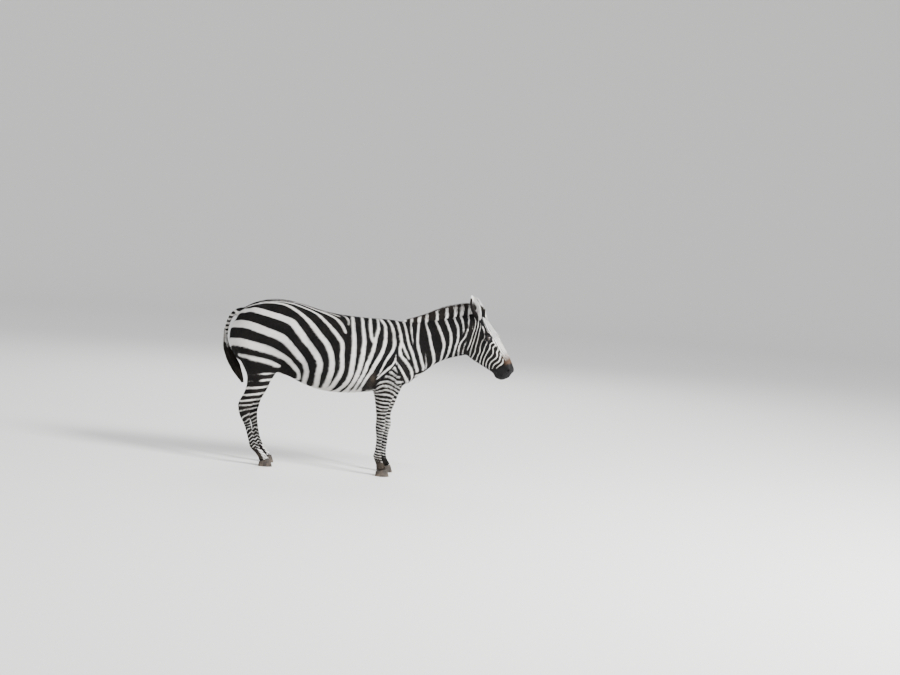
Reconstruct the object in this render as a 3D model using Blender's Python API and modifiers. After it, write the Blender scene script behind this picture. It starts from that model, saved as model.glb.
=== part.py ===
"""A standing plains zebra, life size, as separate closed solids.

Metres, +Z up. The animal looks along +X and its right side faces -Y. Each stretch of the body is
a loft of rings, and a ring spans from a point on the front or upper outline to the point across
from it on the rear or lower outline. The lofts and muscles are fused, smoothed and thinned to
one skin, which thin cuts then divide into head, neck, trunk, tail and legs.
"""

from math import cos, pi, radians, sin
from typing import NamedTuple

import bmesh
import bpy
from mathutils import Euler, Matrix, Vector

# Driving dimensions
WITHERS = 1.268  # height of the back above the shoulders
CROUP = 1.37  # height of the hindquarters
FRONT_HOOF_X = 0.478  # middle of the near fore hoof
HIND_HOOF_X = -0.49
# How far a left leg stands ahead of the right one, as (height, distance) from hoof to hip
FORE_STANCE = ((0.00, -0.008), (0.10, -0.004), (0.26, 0.012), (0.60, 0.006), (0.90, 0.0))
HIND_STANCE = ((0.00, -0.038), (0.10, -0.034), (0.22, -0.012), (0.34, 0.004), (0.46, 0.016),
               (0.60, -0.012), (0.72, -0.046), (0.82, -0.044), (1.00, 0.0))
HEAD_LENGTH = 0.56  # poll to lips
HEAD_DROP = radians(54)  # slope of the face below the horizontal
HEAD_TILT = radians(-4)
HEAD_TURN = radians(-22)  # the head looks a little to the animal's right
POLL = Vector((1.186, -0.040, WITHERS + 0.086))
EAR_LENGTH = 0.19
# How far each ear leans out, how far it lies back, and how far it opens sideways, in degrees
EAR_SET = {"right": (8, 73, 32), "left": (4, 82, 40)}
EYE_RADIUS = 0.0215
EYE_PLACE = Vector((0.217, 0.0840, 0.008))  # the left eye, in the head's own frame
MANE_HEIGHT = 0.085
TUFT_TOP = 0.985  # height at which the tail's fleshy part ends and its long hair begins

# How fine the solids are
GAP = 0.0003  # left between neighbours
RING_POINTS = 28
VOXEL = 0.008
SMOOTHING = 6
SOFT_SMOOTHING = 18  # on the trunk and shoulders, where muscles run into each other
FLESH_TRIANGLES = 5350
REACH = 3.0  # size of a cutter that passes the whole animal

COAT_BLACK = (0.022, 0.018, 0.016, 1)
COAT_WHITE = (0.78, 0.74, 0.68, 1)
COAT_GREY = (0.36, 0.34, 0.32, 1)
HORN_GREY = (0.07, 0.06, 0.055, 1)


SIDES = ((-1, "right"), (1, "left"))


class Ring(NamedTuple):
    """One cross-section: its front or top point and its back or bottom point as (x, z)."""

    front: tuple
    back: tuple
    half: float  # half the width across the animal
    widest: float = 0.5  # where it is widest, from 0 at the back point to 1 at the front
    front_power: float = 2.0  # 2 is an ellipse, more is boxier, less is keener
    back_power: float = 2.0
    side: float = 0.0  # the ring's middle in Y


def signed_power(value, power):
    return abs(value) ** power * (1 if value >= 0 else -1)


def ring_points(ring, count):
    front = Vector((ring.front[0], 0, ring.front[1]))
    back = Vector((ring.back[0], 0, ring.back[1]))
    middle = back.lerp(front, ring.widest) + Vector((0, ring.side, 0))
    points = []
    for index in range(count):
        angle = 2 * pi * index / count
        ahead = cos(angle) >= 0
        power = 2 / (ring.front_power if ahead else ring.back_power)
        reach = (front - back) * ((1 - ring.widest) if ahead else ring.widest)
        point = middle + reach * signed_power(cos(angle), power)
        point.y += ring.half * signed_power(sin(angle), power)
        points.append(point)
    return points


def flat_numbers(ring):
    return [*ring.front, *ring.back, *ring[2:]]


def ring_from(numbers):
    return Ring(tuple(numbers[0:2]), tuple(numbers[2:4]), *numbers[4:])


def spline_rings(rings, between):
    """A smooth run of rings through the given ones, with `between` steps from one to the next."""
    rows = [flat_numbers(r) for r in rings]
    middles = [Vector((r[0] + r[2], r[1] + r[3], 2 * r[8])) / 2 for r in rows]
    along = [0.0]
    for first, second in zip(middles, middles[1:]):
        along.append(along[-1] + max((second - first).length, 1e-4))
    slopes = []
    for i, row in enumerate(rows):
        low, high = max(i - 1, 0), min(i + 1, len(rows) - 1)
        slopes.append([(b - a) / (along[high] - along[low]) for a, b in zip(rows[low], rows[high])])
    made = []
    for i in range(len(rows) - 1):
        span = along[i + 1] - along[i]
        for step in range(between):
            t = step / between
            h00, h10 = 2 * t**3 - 3 * t**2 + 1, t**3 - 2 * t**2 + t
            h01, h11 = -2 * t**3 + 3 * t**2, t**3 - t**2
            made.append(
                ring_from(
                    [
                        h00 * a + h10 * span * da + h01 * b + h11 * span * db
                        for a, b, da, db in zip(rows[i], rows[i + 1], slopes[i], slopes[i + 1])
                    ]
                )
            )
    return made + [rings[-1]]


def new_object(name, bm, parent=None, matrix=None):
    bmesh.ops.recalc_face_normals(bm, faces=bm.faces)
    mesh = bpy.data.meshes.new(name)
    bm.to_mesh(mesh)
    bm.free()
    obj = bpy.data.objects.new(name, mesh)
    helpers.objects.link(obj)
    obj.parent = parent
    if matrix is not None:
        obj.matrix_local = matrix
    return obj


def loft(name, rings, between=4, parent=None, count=RING_POINTS):
    bm = bmesh.new()
    previous = first = None
    for ring in spline_rings(rings, between):
        verts = [bm.verts.new(point) for point in ring_points(ring, count)]
        if previous:
            for i in range(count):
                j = (i + 1) % count
                bm.faces.new((previous[i], previous[j], verts[j], verts[i]))
        first = first or verts
        previous = verts
    bm.faces.new(first)
    bm.faces.new(previous)
    return new_object(name, bm, parent)


def muscle(name, place, radii, turn=(0, 0, 0), parent=None):
    """A swelling under the skin: an ellipsoid at `place`."""
    bm = bmesh.new()
    turned = Euler([radians(a) for a in turn]).to_matrix().to_4x4()
    matrix = Matrix.Translation(place) @ turned @ Matrix.Diagonal((*radii, 1))
    bmesh.ops.create_uvsphere(bm, u_segments=24, v_segments=16, radius=1, matrix=matrix)
    return new_object(name, bm, parent)


def both_sides(name, place, radii, turn, parent=None):
    """The same muscle on the right and the left."""
    mirrored = (place[0], -place[1], place[2])
    opposite = (-turn[0], turn[1], -turn[2])
    return [
        muscle(name + "_right", mirrored, radii, opposite, parent),
        muscle(name + "_left", place, radii, turn, parent),
    ]


def trunk_rings():
    return [
        Ring((-0.792, 1.235), (-0.846, 1.075), 0.050),
        Ring((-0.764, 1.272), (-0.838, 0.965), 0.140, 0.55),
        Ring((-0.695, 1.318), (-0.775, 0.860), 0.205, 0.55),
        Ring((-0.600, CROUP - 0.017), (-0.655, 0.790), 0.243, 0.55),
        Ring((-0.490, CROUP), (-0.515, 0.765), 0.262, 0.54, 2.0, 2.2),
        Ring((-0.370, CROUP - 0.006), (-0.370, 0.745), 0.268, 0.52, 2.0, 2.2),
        Ring((-0.250, 1.340), (-0.240, 0.692), 0.276, 0.48, 2.0, 2.1),
        Ring((-0.110, 1.306), (-0.105, 0.652), 0.288, 0.46, 2.0, 2.1),
        Ring((0.030, 1.284), (0.030, 0.637), 0.290, 0.45, 1.95, 2.1),
        Ring((0.180, 1.275), (0.170, 0.643), 0.278, 0.45, 1.9, 2.1),
        Ring((0.320, WITHERS + 0.004), (0.300, 0.660), 0.252, 0.44, 1.8, 2.1),
        Ring((0.440, WITHERS + 0.005), (0.420, 0.684), 0.222, 0.43, 1.7, 2.1),
        Ring((0.540, WITHERS - 0.004), (0.530, 0.706), 0.200, 0.42, 1.7, 2.1),
        Ring((0.605, 1.225), (0.615, 0.745), 0.172, 0.42),
        Ring((0.650, 1.140), (0.668, 0.810), 0.130),
        Ring((0.675, 1.055), (0.690, 0.900), 0.060),
    ]


def neck_rings():
    """From inside the shoulders to behind the ears. The crest is keener than the throat."""
    sway = POLL.y
    return [
        Ring((0.400, WITHERS - 0.02), (0.590, 0.745), 0.165, 0.40, 1.7),
        Ring((0.520, WITHERS - 0.002), (0.700, 0.800), 0.160, 0.38, 1.6),
        Ring((0.640, WITHERS + 0.002), (0.778, 0.868), 0.142, 0.38, 1.6, side=0.05 * sway),
        Ring((0.760, WITHERS + 0.022), (0.855, 0.930), 0.122, 0.38, 1.6, side=0.15 * sway),
        Ring((0.880, WITHERS + 0.055), (0.935, 0.974), 0.107, 0.39, 1.6, side=0.35 * sway),
        Ring((0.990, WITHERS + 0.085), (1.012, 1.000), 0.099, 0.42, 1.7, side=0.6 * sway),
        Ring((1.080, WITHERS + 0.103), (1.080, 1.020), 0.092, 0.46, 1.8, side=0.85 * sway),
        Ring((1.145, WITHERS + 0.104), (1.135, 1.055), 0.084, 0.52, 2.0, side=sway),
        Ring((1.190, WITHERS + 0.080), (1.175, 1.130), 0.055, side=sway),
    ]


def head_rings():
    """In the head's own frame: x runs from the poll to the lips, z is up from the face."""
    return [
        Ring((-0.030, -0.030), (0.020, -0.150), 0.045),
        Ring((-0.005, 0.010), (0.060, -0.212), 0.068, 0.60),
        Ring((0.035, 0.034), (0.108, -0.250), 0.080, 0.66, 2.3, 1.8),
        Ring((0.090, 0.044), (0.155, -0.265), 0.090, 0.68, 2.4, 1.7),
        Ring((0.150, 0.049), (0.208, -0.263), 0.096, 0.70, 2.6, 1.6),
        Ring((0.210, 0.051), (0.260, -0.245), 0.093, 0.72, 2.6, 1.6),
        Ring((0.270, 0.053), (0.310, -0.218), 0.080, 0.68, 2.4, 1.7),
        Ring((0.330, 0.056), (0.360, -0.190), 0.064, 0.62, 2.2, 1.8),
        Ring((0.390, 0.057), (0.408, -0.164), 0.055, 0.58, 2.2, 1.9),
        Ring((0.440, 0.056), (0.446, -0.142), 0.050, 0.56, 2.2, 2.0),
        Ring((0.480, 0.050), (0.482, -0.128), 0.051, 0.58, 2.2, 2.1),
        Ring((0.518, 0.030), (0.514, -0.120), 0.052, 0.56, 2.2, 2.1),
        Ring((0.545, -0.002), (0.538, -0.104), 0.046),
        Ring((HEAD_LENGTH - 0.002, -0.032), (0.554, -0.074), 0.028),
    ]


def distance_ahead(stance, height):
    """How far a left leg is ahead of the right one at `height`."""
    for (low, first), (high, second) in zip(stance, stance[1:]):
        if height <= high:
            return first + (second - first) * (height - low) / (high - low)
    return 0.0


def leg_ring(foot, side, stance, front, back, half, across, *shape):
    """A ring of a leg, which on the left follows its own stance."""
    height = (front[1] + back[1]) / 2
    ahead = distance_ahead(stance, height) if side > 0 else 0.0
    front = (foot + ahead + front[0], front[1])
    back = (foot + ahead + back[0], back[1])
    return Ring(front, back, half, *shape, side=side * across)


def fore_leg_rings(side):
    """Coronet to shoulder blade. `side` is -1 on the right and 1 on the left."""

    def at(front, back, half, across=0.125):
        return leg_ring(FRONT_HOOF_X, side, FORE_STANCE, front, back, half, across)

    return [
        at((0.050, 0.052), (-0.036, 0.028), 0.040),
        at((0.046, 0.068), (-0.038, 0.042), 0.039),
        at((0.024, 0.100), (-0.044, 0.085), 0.029),
        at((0.008, 0.130), (-0.060, 0.124), 0.028),
        at((0.001, 0.160), (-0.073, 0.156), 0.032),
        at((-0.003, 0.195), (-0.064, 0.195), 0.0255),
        at((-0.001, 0.262), (-0.058, 0.262), 0.0230),
        at((0.002, 0.330), (-0.060, 0.330), 0.0265),
        at((0.014, 0.366), (-0.066, 0.365), 0.0355),
        at((0.019, 0.402), (-0.070, 0.404), 0.0375),
        at((0.014, 0.442), (-0.068, 0.446), 0.0350),
        at((0.015, 0.492), (-0.070, 0.498), 0.0360),
        at((0.038, 0.562), (-0.082, 0.576), 0.0460, 0.128),
        at((0.064, 0.636), (-0.098, 0.660), 0.0590, 0.134),
        at((0.094, 0.708), (-0.128, 0.735), 0.0720, 0.140),
        at((0.138, 0.790), (-0.140, 0.815), 0.0780, 0.142),
        at((0.166, 0.885), (-0.135, 0.920), 0.0760, 0.140),
        at((0.136, 1.000), (-0.105, 1.040), 0.0560, 0.128),
        at((0.050, 1.120), (-0.080, 1.150), 0.0300, 0.100),
    ]


def hind_leg_rings(side):
    """Coronet to hip."""

    def at(front, back, half, across=0.115):
        return leg_ring(HIND_HOOF_X, side, HIND_STANCE, front, back, half, across)

    return [
        at((0.048, 0.050), (-0.036, 0.026), 0.038),
        at((0.041, 0.068), (-0.041, 0.041), 0.037),
        at((0.010, 0.100), (-0.058, 0.078), 0.028),
        at((-0.026, 0.134), (-0.092, 0.112), 0.028),
        at((-0.054, 0.172), (-0.127, 0.146), 0.033),
        at((-0.078, 0.212), (-0.143, 0.196), 0.027),
        at((-0.106, 0.283), (-0.166, 0.270), 0.024),
        at((-0.128, 0.356), (-0.193, 0.338), 0.027),
        at((-0.138, 0.415), (-0.226, 0.395), 0.034),
        at((-0.130, 0.465), (-0.243, 0.450), 0.038),
        at((-0.106, 0.518), (-0.246, 0.508), 0.034),
        at((-0.068, 0.568), (-0.211, 0.572), 0.038, 0.117),
        at((-0.023, 0.630), (-0.184, 0.650), 0.052, 0.122),
        at((0.023, 0.700), (-0.186, 0.745), 0.067, 0.130),
        at((0.075, 0.790), (-0.245, 0.855), 0.086, 0.142),
        at((0.104, 0.880), (-0.300, 0.975), 0.098, 0.150),
        at((0.105, 1.000), (-0.310, 1.095), 0.088, 0.150),
        at((0.060, 1.120), (-0.235, 1.200), 0.050, 0.130),
    ]


def dock_rings():
    """The fleshy tail, down to where the long hair begins."""
    return [
        Ring((-0.740, 1.285), (-0.770, 1.215), 0.034),
        Ring((-0.808, 1.275), (-0.815, 1.212), 0.031),
        Ring((-0.863, 1.232), (-0.840, 1.188), 0.027),
        Ring((-0.898, 1.165), (-0.860, 1.150), 0.0235),
        Ring((-0.916, 1.085), (-0.874, 1.078), 0.0215),
        Ring((-0.919, 1.000), (-0.880, 0.998), 0.0190, side=-0.004),
        Ring((-0.908, 0.935), (-0.878, 0.930), 0.0140, side=-0.008),
    ]


def build_flesh():
    """The head's frame, and every fleshy shape, before they are fused."""
    head = bpy.data.objects.new("head_frame", None)
    helpers.objects.link(head)
    head.location = POLL
    head.rotation_euler = (HEAD_TILT, HEAD_DROP, HEAD_TURN)
    shapes = [
        loft("trunk_shape", trunk_rings()),
        loft("neck_shape", neck_rings()),
        loft("dock_shape", dock_rings()),
        loft("head_shape", head_rings(), parent=head),
    ]
    for side, name in SIDES:
        shapes.append(loft("fore_shape_" + name, fore_leg_rings(side)))
        shapes.append(loft("hind_shape_" + name, hind_leg_rings(side)))
    # (name, place, radii, turn in degrees) on the head, in its own frame
    for spec in (
        ("cheek", (0.160, 0.054, -0.135), (0.088, 0.030, 0.100), (0, 0, 0)),
        ("brow", (0.203, 0.071, 0.014), (0.048, 0.032, 0.030), (0, 0, 0)),
        ("cheekbone", (0.240, 0.068, -0.026), (0.066, 0.024, 0.018), (0, 6, -14)),
        ("face_crest", (0.300, 0.050, -0.026), (0.070, 0.018, 0.015), (0, 4, -8)),
        ("nostril", (0.504, 0.035, 0.008), (0.036, 0.021, 0.030), (0, 14, -8)),
        ("lip_corner", (0.470, 0.034, -0.072), (0.036, 0.018, 0.026), (0, 0, 0)),
        ("ear_root", (0.022, 0.054, -0.008), (0.036, 0.027, 0.034), (0, 0, 0)),
    ):
        shapes += both_sides(*spec, parent=head)
    shapes.append(muscle("chin", (0.494, 0, -0.118), (0.030, 0.030, 0.020), parent=head))
    shapes.append(muscle("upper_lip", (0.536, 0, -0.038), (0.024, 0.038, 0.030), parent=head))
    shapes.append(muscle("lower_lip", (0.524, 0, -0.096), (0.026, 0.032, 0.020), parent=head))
    # The same on the body
    for spec in (
        ("shoulder", (0.510, 0.122, 0.985), (0.100, 0.075, 0.215), (0, 16, 0)),
        ("triceps", (0.410, 0.150, 0.840), (0.100, 0.062, 0.100), (0, -25, 0)),
        ("breast", (0.625, 0.062, 0.850), (0.066, 0.078, 0.095), (0, 0, 0)),
        ("haunch", (-0.560, 0.140, 1.120), (0.200, 0.105, 0.200), (0, 20, 0)),
        ("buttock", (-0.745, 0.100, 1.020), (0.098, 0.085, 0.180), (0, -8, 0)),
        ("stifle", (-0.440, 0.158, 0.890), (0.085, 0.072, 0.120), (0, 20, 0)),
    ):
        shapes += both_sides(*spec)
    return head, shapes


def evaluated_mesh(obj):
    graph = bpy.context.evaluated_depsgraph_get()
    return bpy.data.meshes.new_from_object(obj.evaluated_get(graph), depsgraph=graph)


def freeze(obj):
    """Applies the object's modifiers."""
    bpy.context.view_layer.update()
    mesh = evaluated_mesh(obj)
    obj.modifiers.clear()
    obj.data = mesh
    return obj


def merge(name, shapes):
    """One mesh holding all the shapes, each still a closed body of its own."""
    bpy.context.view_layer.update()
    bm = bmesh.new()
    for shape in shapes:
        mesh = evaluated_mesh(shape)
        mesh.transform(shape.matrix_world)
        bm.from_mesh(mesh)
    return new_object(name, bm)


def ramp(value, low, high):
    """0 below `low`, 1 above `high` and smooth between them."""
    t = min(1.0, max(0.0, (value - low) / (high - low)))
    return t * t * (3 - 2 * t)


def smooth(obj, iterations, group=""):
    modifier = obj.modifiers.new("smooth", "SMOOTH")
    modifier.factor = 0.5
    modifier.iterations = iterations
    modifier.vertex_group = group
    return freeze(obj)


def mark_soft(obj):
    """Weighs the trunk and the tops of the legs, but not the head, tail or lower legs."""
    soft = obj.vertex_groups.new(name="soft")
    for vertex in obj.data.vertices:
        x, y, z = vertex.co
        weight = ramp(z, 0.66, 0.84) * ramp(1.12 - x, 0, 0.15) * ramp(x, -0.86, -0.82)
        soft.add([vertex.index], weight, "REPLACE")


def fuse_and_smooth(obj):
    remesh = obj.modifiers.new("fuse", "REMESH")
    remesh.mode = "VOXEL"
    remesh.voxel_size = VOXEL
    freeze(obj)
    mark_soft(obj)
    smooth(obj, SOFT_SMOOTHING, "soft")
    smooth(obj, SMOOTHING)
    thin = obj.modifiers.new("thin", "DECIMATE")
    thin.ratio = FLESH_TRIANGLES / (2 * len(obj.data.polygons))
    freeze(obj)
    weld = obj.modifiers.new("weld", "WELD")
    weld.merge_threshold = 0.0001
    return freeze(obj)


def boolean(obj, cutter, operation):
    cut = obj.modifiers.new(operation.lower(), "BOOLEAN")
    cut.operation = operation
    cut.solver = "EXACT"
    cut.object = cutter
    return freeze(obj)


def copy_of(obj, name):
    made = bpy.data.objects.new(name, obj.data.copy())
    made.matrix_world = obj.matrix_world
    helpers.objects.link(made)
    return made


def block(name, low, high, matrix=None):
    """A box cutter between two corners, turned by `matrix`."""
    bm = bmesh.new()
    low, high = Vector(low), Vector(high)
    shape = Matrix.Translation((low + high) / 2) @ Matrix.Diagonal((*(high - low), 1))
    bmesh.ops.create_cube(bm, size=1, matrix=(matrix or Matrix()) @ shape)
    return new_object(name, bm)


def swell(obj, by):
    """Moves the surface out along its normals."""
    grow = obj.modifiers.new("swell", "DISPLACE")
    grow.strength = by
    grow.mid_level = 0
    return freeze(obj)


def column(name, xs, ys, tops):
    """A cutter round one leg, from below the floor to a sloping top.

    `xs` are its back and front, `ys` its inner and outer side, and `tops` the heights at the back
    inner, front inner, front outer and back outer corner.
    """
    corners = [(xs[0], ys[0]), (xs[1], ys[0]), (xs[1], ys[1]), (xs[0], ys[1])]
    bm = bmesh.new()
    low = [bm.verts.new((x, y, -0.1)) for x, y in corners]
    high = [bm.verts.new((x, y, z)) for (x, y), z in zip(corners, tops)]
    bm.faces.new(low)
    for a, b, c in ((0, 1, 2), (0, 2, 3)):
        bm.faces.new((high[a], high[b], high[c]))
    for i in range(4):
        j = (i + 1) % 4
        bm.faces.new((low[i], low[j], high[j], high[i]))
    return new_object(name, bm)


def split(body, name, cutter):
    """Takes the part of the body inside the cutter off as its own object, with a thin gap."""
    piece = boolean(copy_of(body, name), cutter, "INTERSECT")
    boolean(body, swell(copy_of(cutter, name + "_gap"), GAP * 3**0.5), "DIFFERENCE")
    return piece


def frame_at(x, z, lean, y=0.0):
    """A frame at (x, y, z) turned about Y by `lean` degrees."""
    return Matrix.Translation((x, y, z)) @ Matrix.Rotation(radians(lean), 4, "Y")


def ear_shell(name, side, head):
    """A cupped ear: an outer leaf with a hollow pressed into its front."""
    leaf = [
        Ring((0.025, -0.020), (-0.021, -0.020), 0.026),
        Ring((0.028, 0.010), (-0.022, 0.010), 0.030),
        Ring((0.029, 0.035), (-0.021, 0.035), 0.038),
        Ring((0.025, 0.070), (-0.018, 0.070), 0.046),
        Ring((0.019, 0.105), (-0.014, 0.105), 0.046),
        Ring((0.013, 0.140), (-0.010, 0.140), 0.037),
        Ring((0.007, 0.170), (-0.006, 0.170), 0.021),
        Ring((0.003, EAR_LENGTH), (-0.003, EAR_LENGTH), 0.005),
    ]
    hollow = [
        Ring((0.050, 0.030), (0.014, 0.030), 0.009),
        Ring((0.056, 0.050), (-0.003, 0.050), 0.025),
        Ring((0.056, 0.080), (-0.008, 0.080), 0.037),
        Ring((0.056, 0.115), (-0.006, 0.115), 0.036),
        Ring((0.050, 0.145), (-0.003, 0.145), 0.026),
        Ring((0.040, 0.175), (0.001, 0.175), 0.008),
    ]
    ear = loft(name, leaf, 1, head, 14)
    cup = loft(name + "_hollow", hollow, 1, head, 12)
    # The ear stands on the poll, leans out and back, and opens forwards and outwards.
    out, back, turn = EAR_SET[name.removeprefix("ear_")]
    stand = Matrix.Translation((0.024, side * 0.056, 0.000))
    lean = Euler((radians(-side * out), radians(-back), 0)).to_matrix().to_4x4()
    opening = Matrix.Rotation(radians(side * turn), 4, "Z")
    for part in (ear, cup):
        part.matrix_local = stand @ lean @ opening
    bpy.context.view_layer.update()
    boolean(ear, cup, "DIFFERENCE")
    return ear


def bake_place(obj):
    """Moves the object's place into its mesh."""
    bpy.context.view_layer.update()
    world = obj.matrix_world.copy()
    obj.parent = None
    obj.data.transform(world)
    obj.matrix_world = Matrix()
    return obj


def ball(name, place, radius, head):
    bm = bmesh.new()
    place = Matrix.Translation(place)
    bmesh.ops.create_uvsphere(bm, u_segments=12, v_segments=7, radius=radius, matrix=place)
    return bake_place(new_object(name, bm, head))


def crest_fin():
    """The upright mane, from the withers over the crest to the forelock between the ears."""
    root = 0.05  # how deep the fin reaches into the neck before it is cut to fit
    heights = (0.30, 0.62, 0.95, 1.0, 1.0, 0.95)
    crest = neck_rings()[2:-1]
    rings = [
        Ring((r.front[0] - 0.010, r.front[1] + MANE_HEIGHT * high), (r.front[0], r.front[1] - root),
             0.020, 0.35, 1.8, 2.4, r.side)
        for r, high in zip(crest, heights)
    ]
    first = rings[0]
    start = first._replace(front=(first.front[0] - 0.06, WITHERS + 0.004), back=(0.57, 1.2), half=0.008)
    brow = Ring((1.196, POLL.z + 0.092), (1.190, POLL.z - 0.050), 0.016, 0.4, 1.8, 2.2, POLL.y)
    lock = Ring((1.232, POLL.z + 0.058), (1.220, POLL.z - 0.060), 0.011, 0.4, 1.8, 2.0, POLL.y - 0.012)
    return loft("mane", [start, *rings, brow, lock], 2, count=10)


def tail_tuft():
    """The long hair below the dock, swept forward against the right thigh."""
    rings = [
        Ring((-0.925, TUFT_TOP), (-0.866, TUFT_TOP), 0.027, side=-0.006),
        Ring((-0.918, 0.943), (-0.848, 0.932), 0.033, side=-0.012),
        Ring((-0.886, 0.880), (-0.802, 0.858), 0.038, side=-0.024),
        Ring((-0.840, 0.816), (-0.754, 0.786), 0.036, side=-0.040),
        Ring((-0.794, 0.758), (-0.730, 0.732), 0.027, side=-0.055),
        Ring((-0.752, 0.706), (-0.713, 0.692), 0.016, side=-0.065),
        Ring((-0.724, 0.664), (-0.706, 0.658), 0.006, side=-0.071),
    ]
    return loft("tail_tuft", rings, 2, count=14)


def hoof(name, x, y, wide):
    """A horn capsule with a flat sole, cut off along the coronet."""
    rings = [
        Ring((x + 0.070, 0.0), (x - 0.044, 0.0), wide, 0.45, 2.0, 2.6, y),
        Ring((x + 0.0655, 0.016), (x - 0.0435, 0.012), wide * 0.985, 0.45, 2.0, 2.6, y),
        Ring((x + 0.054, 0.048), (x - 0.041, 0.026), wide * 0.92, 0.45, 2.0, 2.5, y),
        Ring((x + 0.048, 0.062), (x - 0.0385, 0.037), wide * 0.87, 0.45, 2.0, 2.4, y),
    ]
    return loft(name, rings, 1, count=18)


def material(name, colour, rough):
    made = bpy.data.materials.new(name)
    made.use_nodes = True
    shader = made.node_tree.nodes["Principled BSDF"]
    shader.inputs["Base Color"].default_value = colour
    shader.inputs["Roughness"].default_value = rough
    made.diffuse_color = colour
    return made


def keep(obj, finish):
    """Makes a finished solid part of the zebra."""
    bake_place(obj)
    helpers.objects.unlink(obj)
    zebra.objects.link(obj)
    obj.data.materials.clear()
    obj.data.materials.append(finish)
    obj.data.shade_smooth()
    return obj


def main():
    coat = material("striped_coat", COAT_GREY, 0.75)
    hair = material("mane_hair", COAT_BLACK, 0.65)
    horn = material("hoof_horn", HORN_GREY, 0.45)
    lens = material("eye", COAT_BLACK, 0.08)
    inner = material("ear_fur", COAT_WHITE, 0.8)

    head_frame, shapes = build_flesh()
    body = fuse_and_smooth(merge("flesh", shapes))
    below_dock = block("dock_end", (-0.97, -0.06, 0.80), (-0.862, 0.06, TUFT_TOP + GAP))
    boolean(body, below_dock, "DIFFERENCE")
    whole = copy_of(body, "whole_flesh")
    swollen = swell(copy_of(body, "flesh_with_gap"), 2 * GAP)

    def rest_on_body(obj):
        boolean(obj, whole, "DIFFERENCE")
        return boolean(obj, swollen, "DIFFERENCE")

    # Eyes sit deep in sockets of their own size.
    for side, name in SIDES:
        place = EYE_PLACE * Vector((1, side, 1))
        keep(ball("eye_" + name, place, EYE_RADIUS, head_frame), lens)
        boolean(body, ball("socket_" + name, place, EYE_RADIUS + GAP, head_frame), "DIFFERENCE")
        ear = bake_place(ear_shell("ear_" + name, side, head_frame))
        keep(rest_on_body(ear), inner)
    keep(rest_on_body(crest_fin()), hair)
    keep(rest_on_body(tail_tuft()), hair)

    # Each hoof takes the leg's end along a sloping coronet, and each leg leaves the trunk.
    for side, name in SIDES:
        for place, foot, stance, across, wide in (
            ("front_", FRONT_HOOF_X, FORE_STANCE, 0.125, 0.047),
            ("hind_", HIND_HOOF_X, HIND_STANCE, 0.115, 0.043),
        ):
            x = foot + (distance_ahead(stance, 0.0) if side > 0 else 0)
            keep(hoof("hoof_" + place + name, x, side * across, wide), horn)
            coronet = frame_at(x, 0.0515, -16.1, side * across)
            cutter = block("coronet", (-0.08, -0.07, -0.1), (0.09, 0.07, GAP), coronet)
            boolean(body, cutter, "DIFFERENCE")
        xs = (FRONT_HOOF_X - 0.20, FRONT_HOOF_X + 0.19)
        tops = (0.625, 0.690, 0.860, 0.760)
        cutter = column("fore_column", xs, (side * 0.012, side * 0.30), tops)
        keep(split(body, "leg_front_" + name, cutter), coat)
        xs = (HIND_HOOF_X - 0.42, HIND_HOOF_X + 0.15)
        tops = (0.750, 0.730, 0.790, 0.960)
        cutter = column("hind_column", xs, (side * 0.006, side * 0.32), tops)
        keep(split(body, "leg_hind_" + name, cutter), coat)
    # Half-spaces that only meet the neck, and a block round the tail's root.
    ahead = ((0, -REACH, -REACH), (REACH, REACH, REACH))
    throat = block("throat_cut", *ahead, frame_at(1.112, 1.2, 4))
    keep(split(body, "head", throat), coat)
    collar = block("collar_cut", *ahead, frame_at(0.615, 1.04, -20))
    keep(split(body, "neck", collar), coat)
    root = block("root_cut", (-0.5, -0.06, -0.5), (0, 0.06, 0.2), frame_at(-0.816, 1.235, 11))
    keep(split(body, "tail", root), coat)
    body.name = "trunk"
    keep(body, coat)

    # The origin is on the floor under the middle of the whole animal.
    corners = [v.co for o in zebra.objects for v in o.data.vertices]
    low = Vector([min(c[i] for c in corners) for i in range(3)])
    high = Vector([max(c[i] for c in corners) for i in range(3)])
    shift = Vector((-(low.x + high.x) / 2, -(low.y + high.y) / 2, -low.z))
    for obj in zebra.objects:
        obj.data.transform(Matrix.Translation(shift))


for leftover in list(bpy.data.objects):
    bpy.data.objects.remove(leftover)
zebra = bpy.data.collections.new("zebra")
helpers = bpy.data.collections.new("shapes_and_cutters")
for group in (zebra, helpers):
    bpy.context.scene.collection.children.link(group)
main()
helpers.hide_render = True
for helper in helpers.objects:
    helper.hide_render = True
    helper.display_type = "WIRE"
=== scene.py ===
import math

import bpy
import numpy as np
from mathutils import Euler, Matrix, Vector
from mathutils.bvhtree import BVHTree


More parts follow.
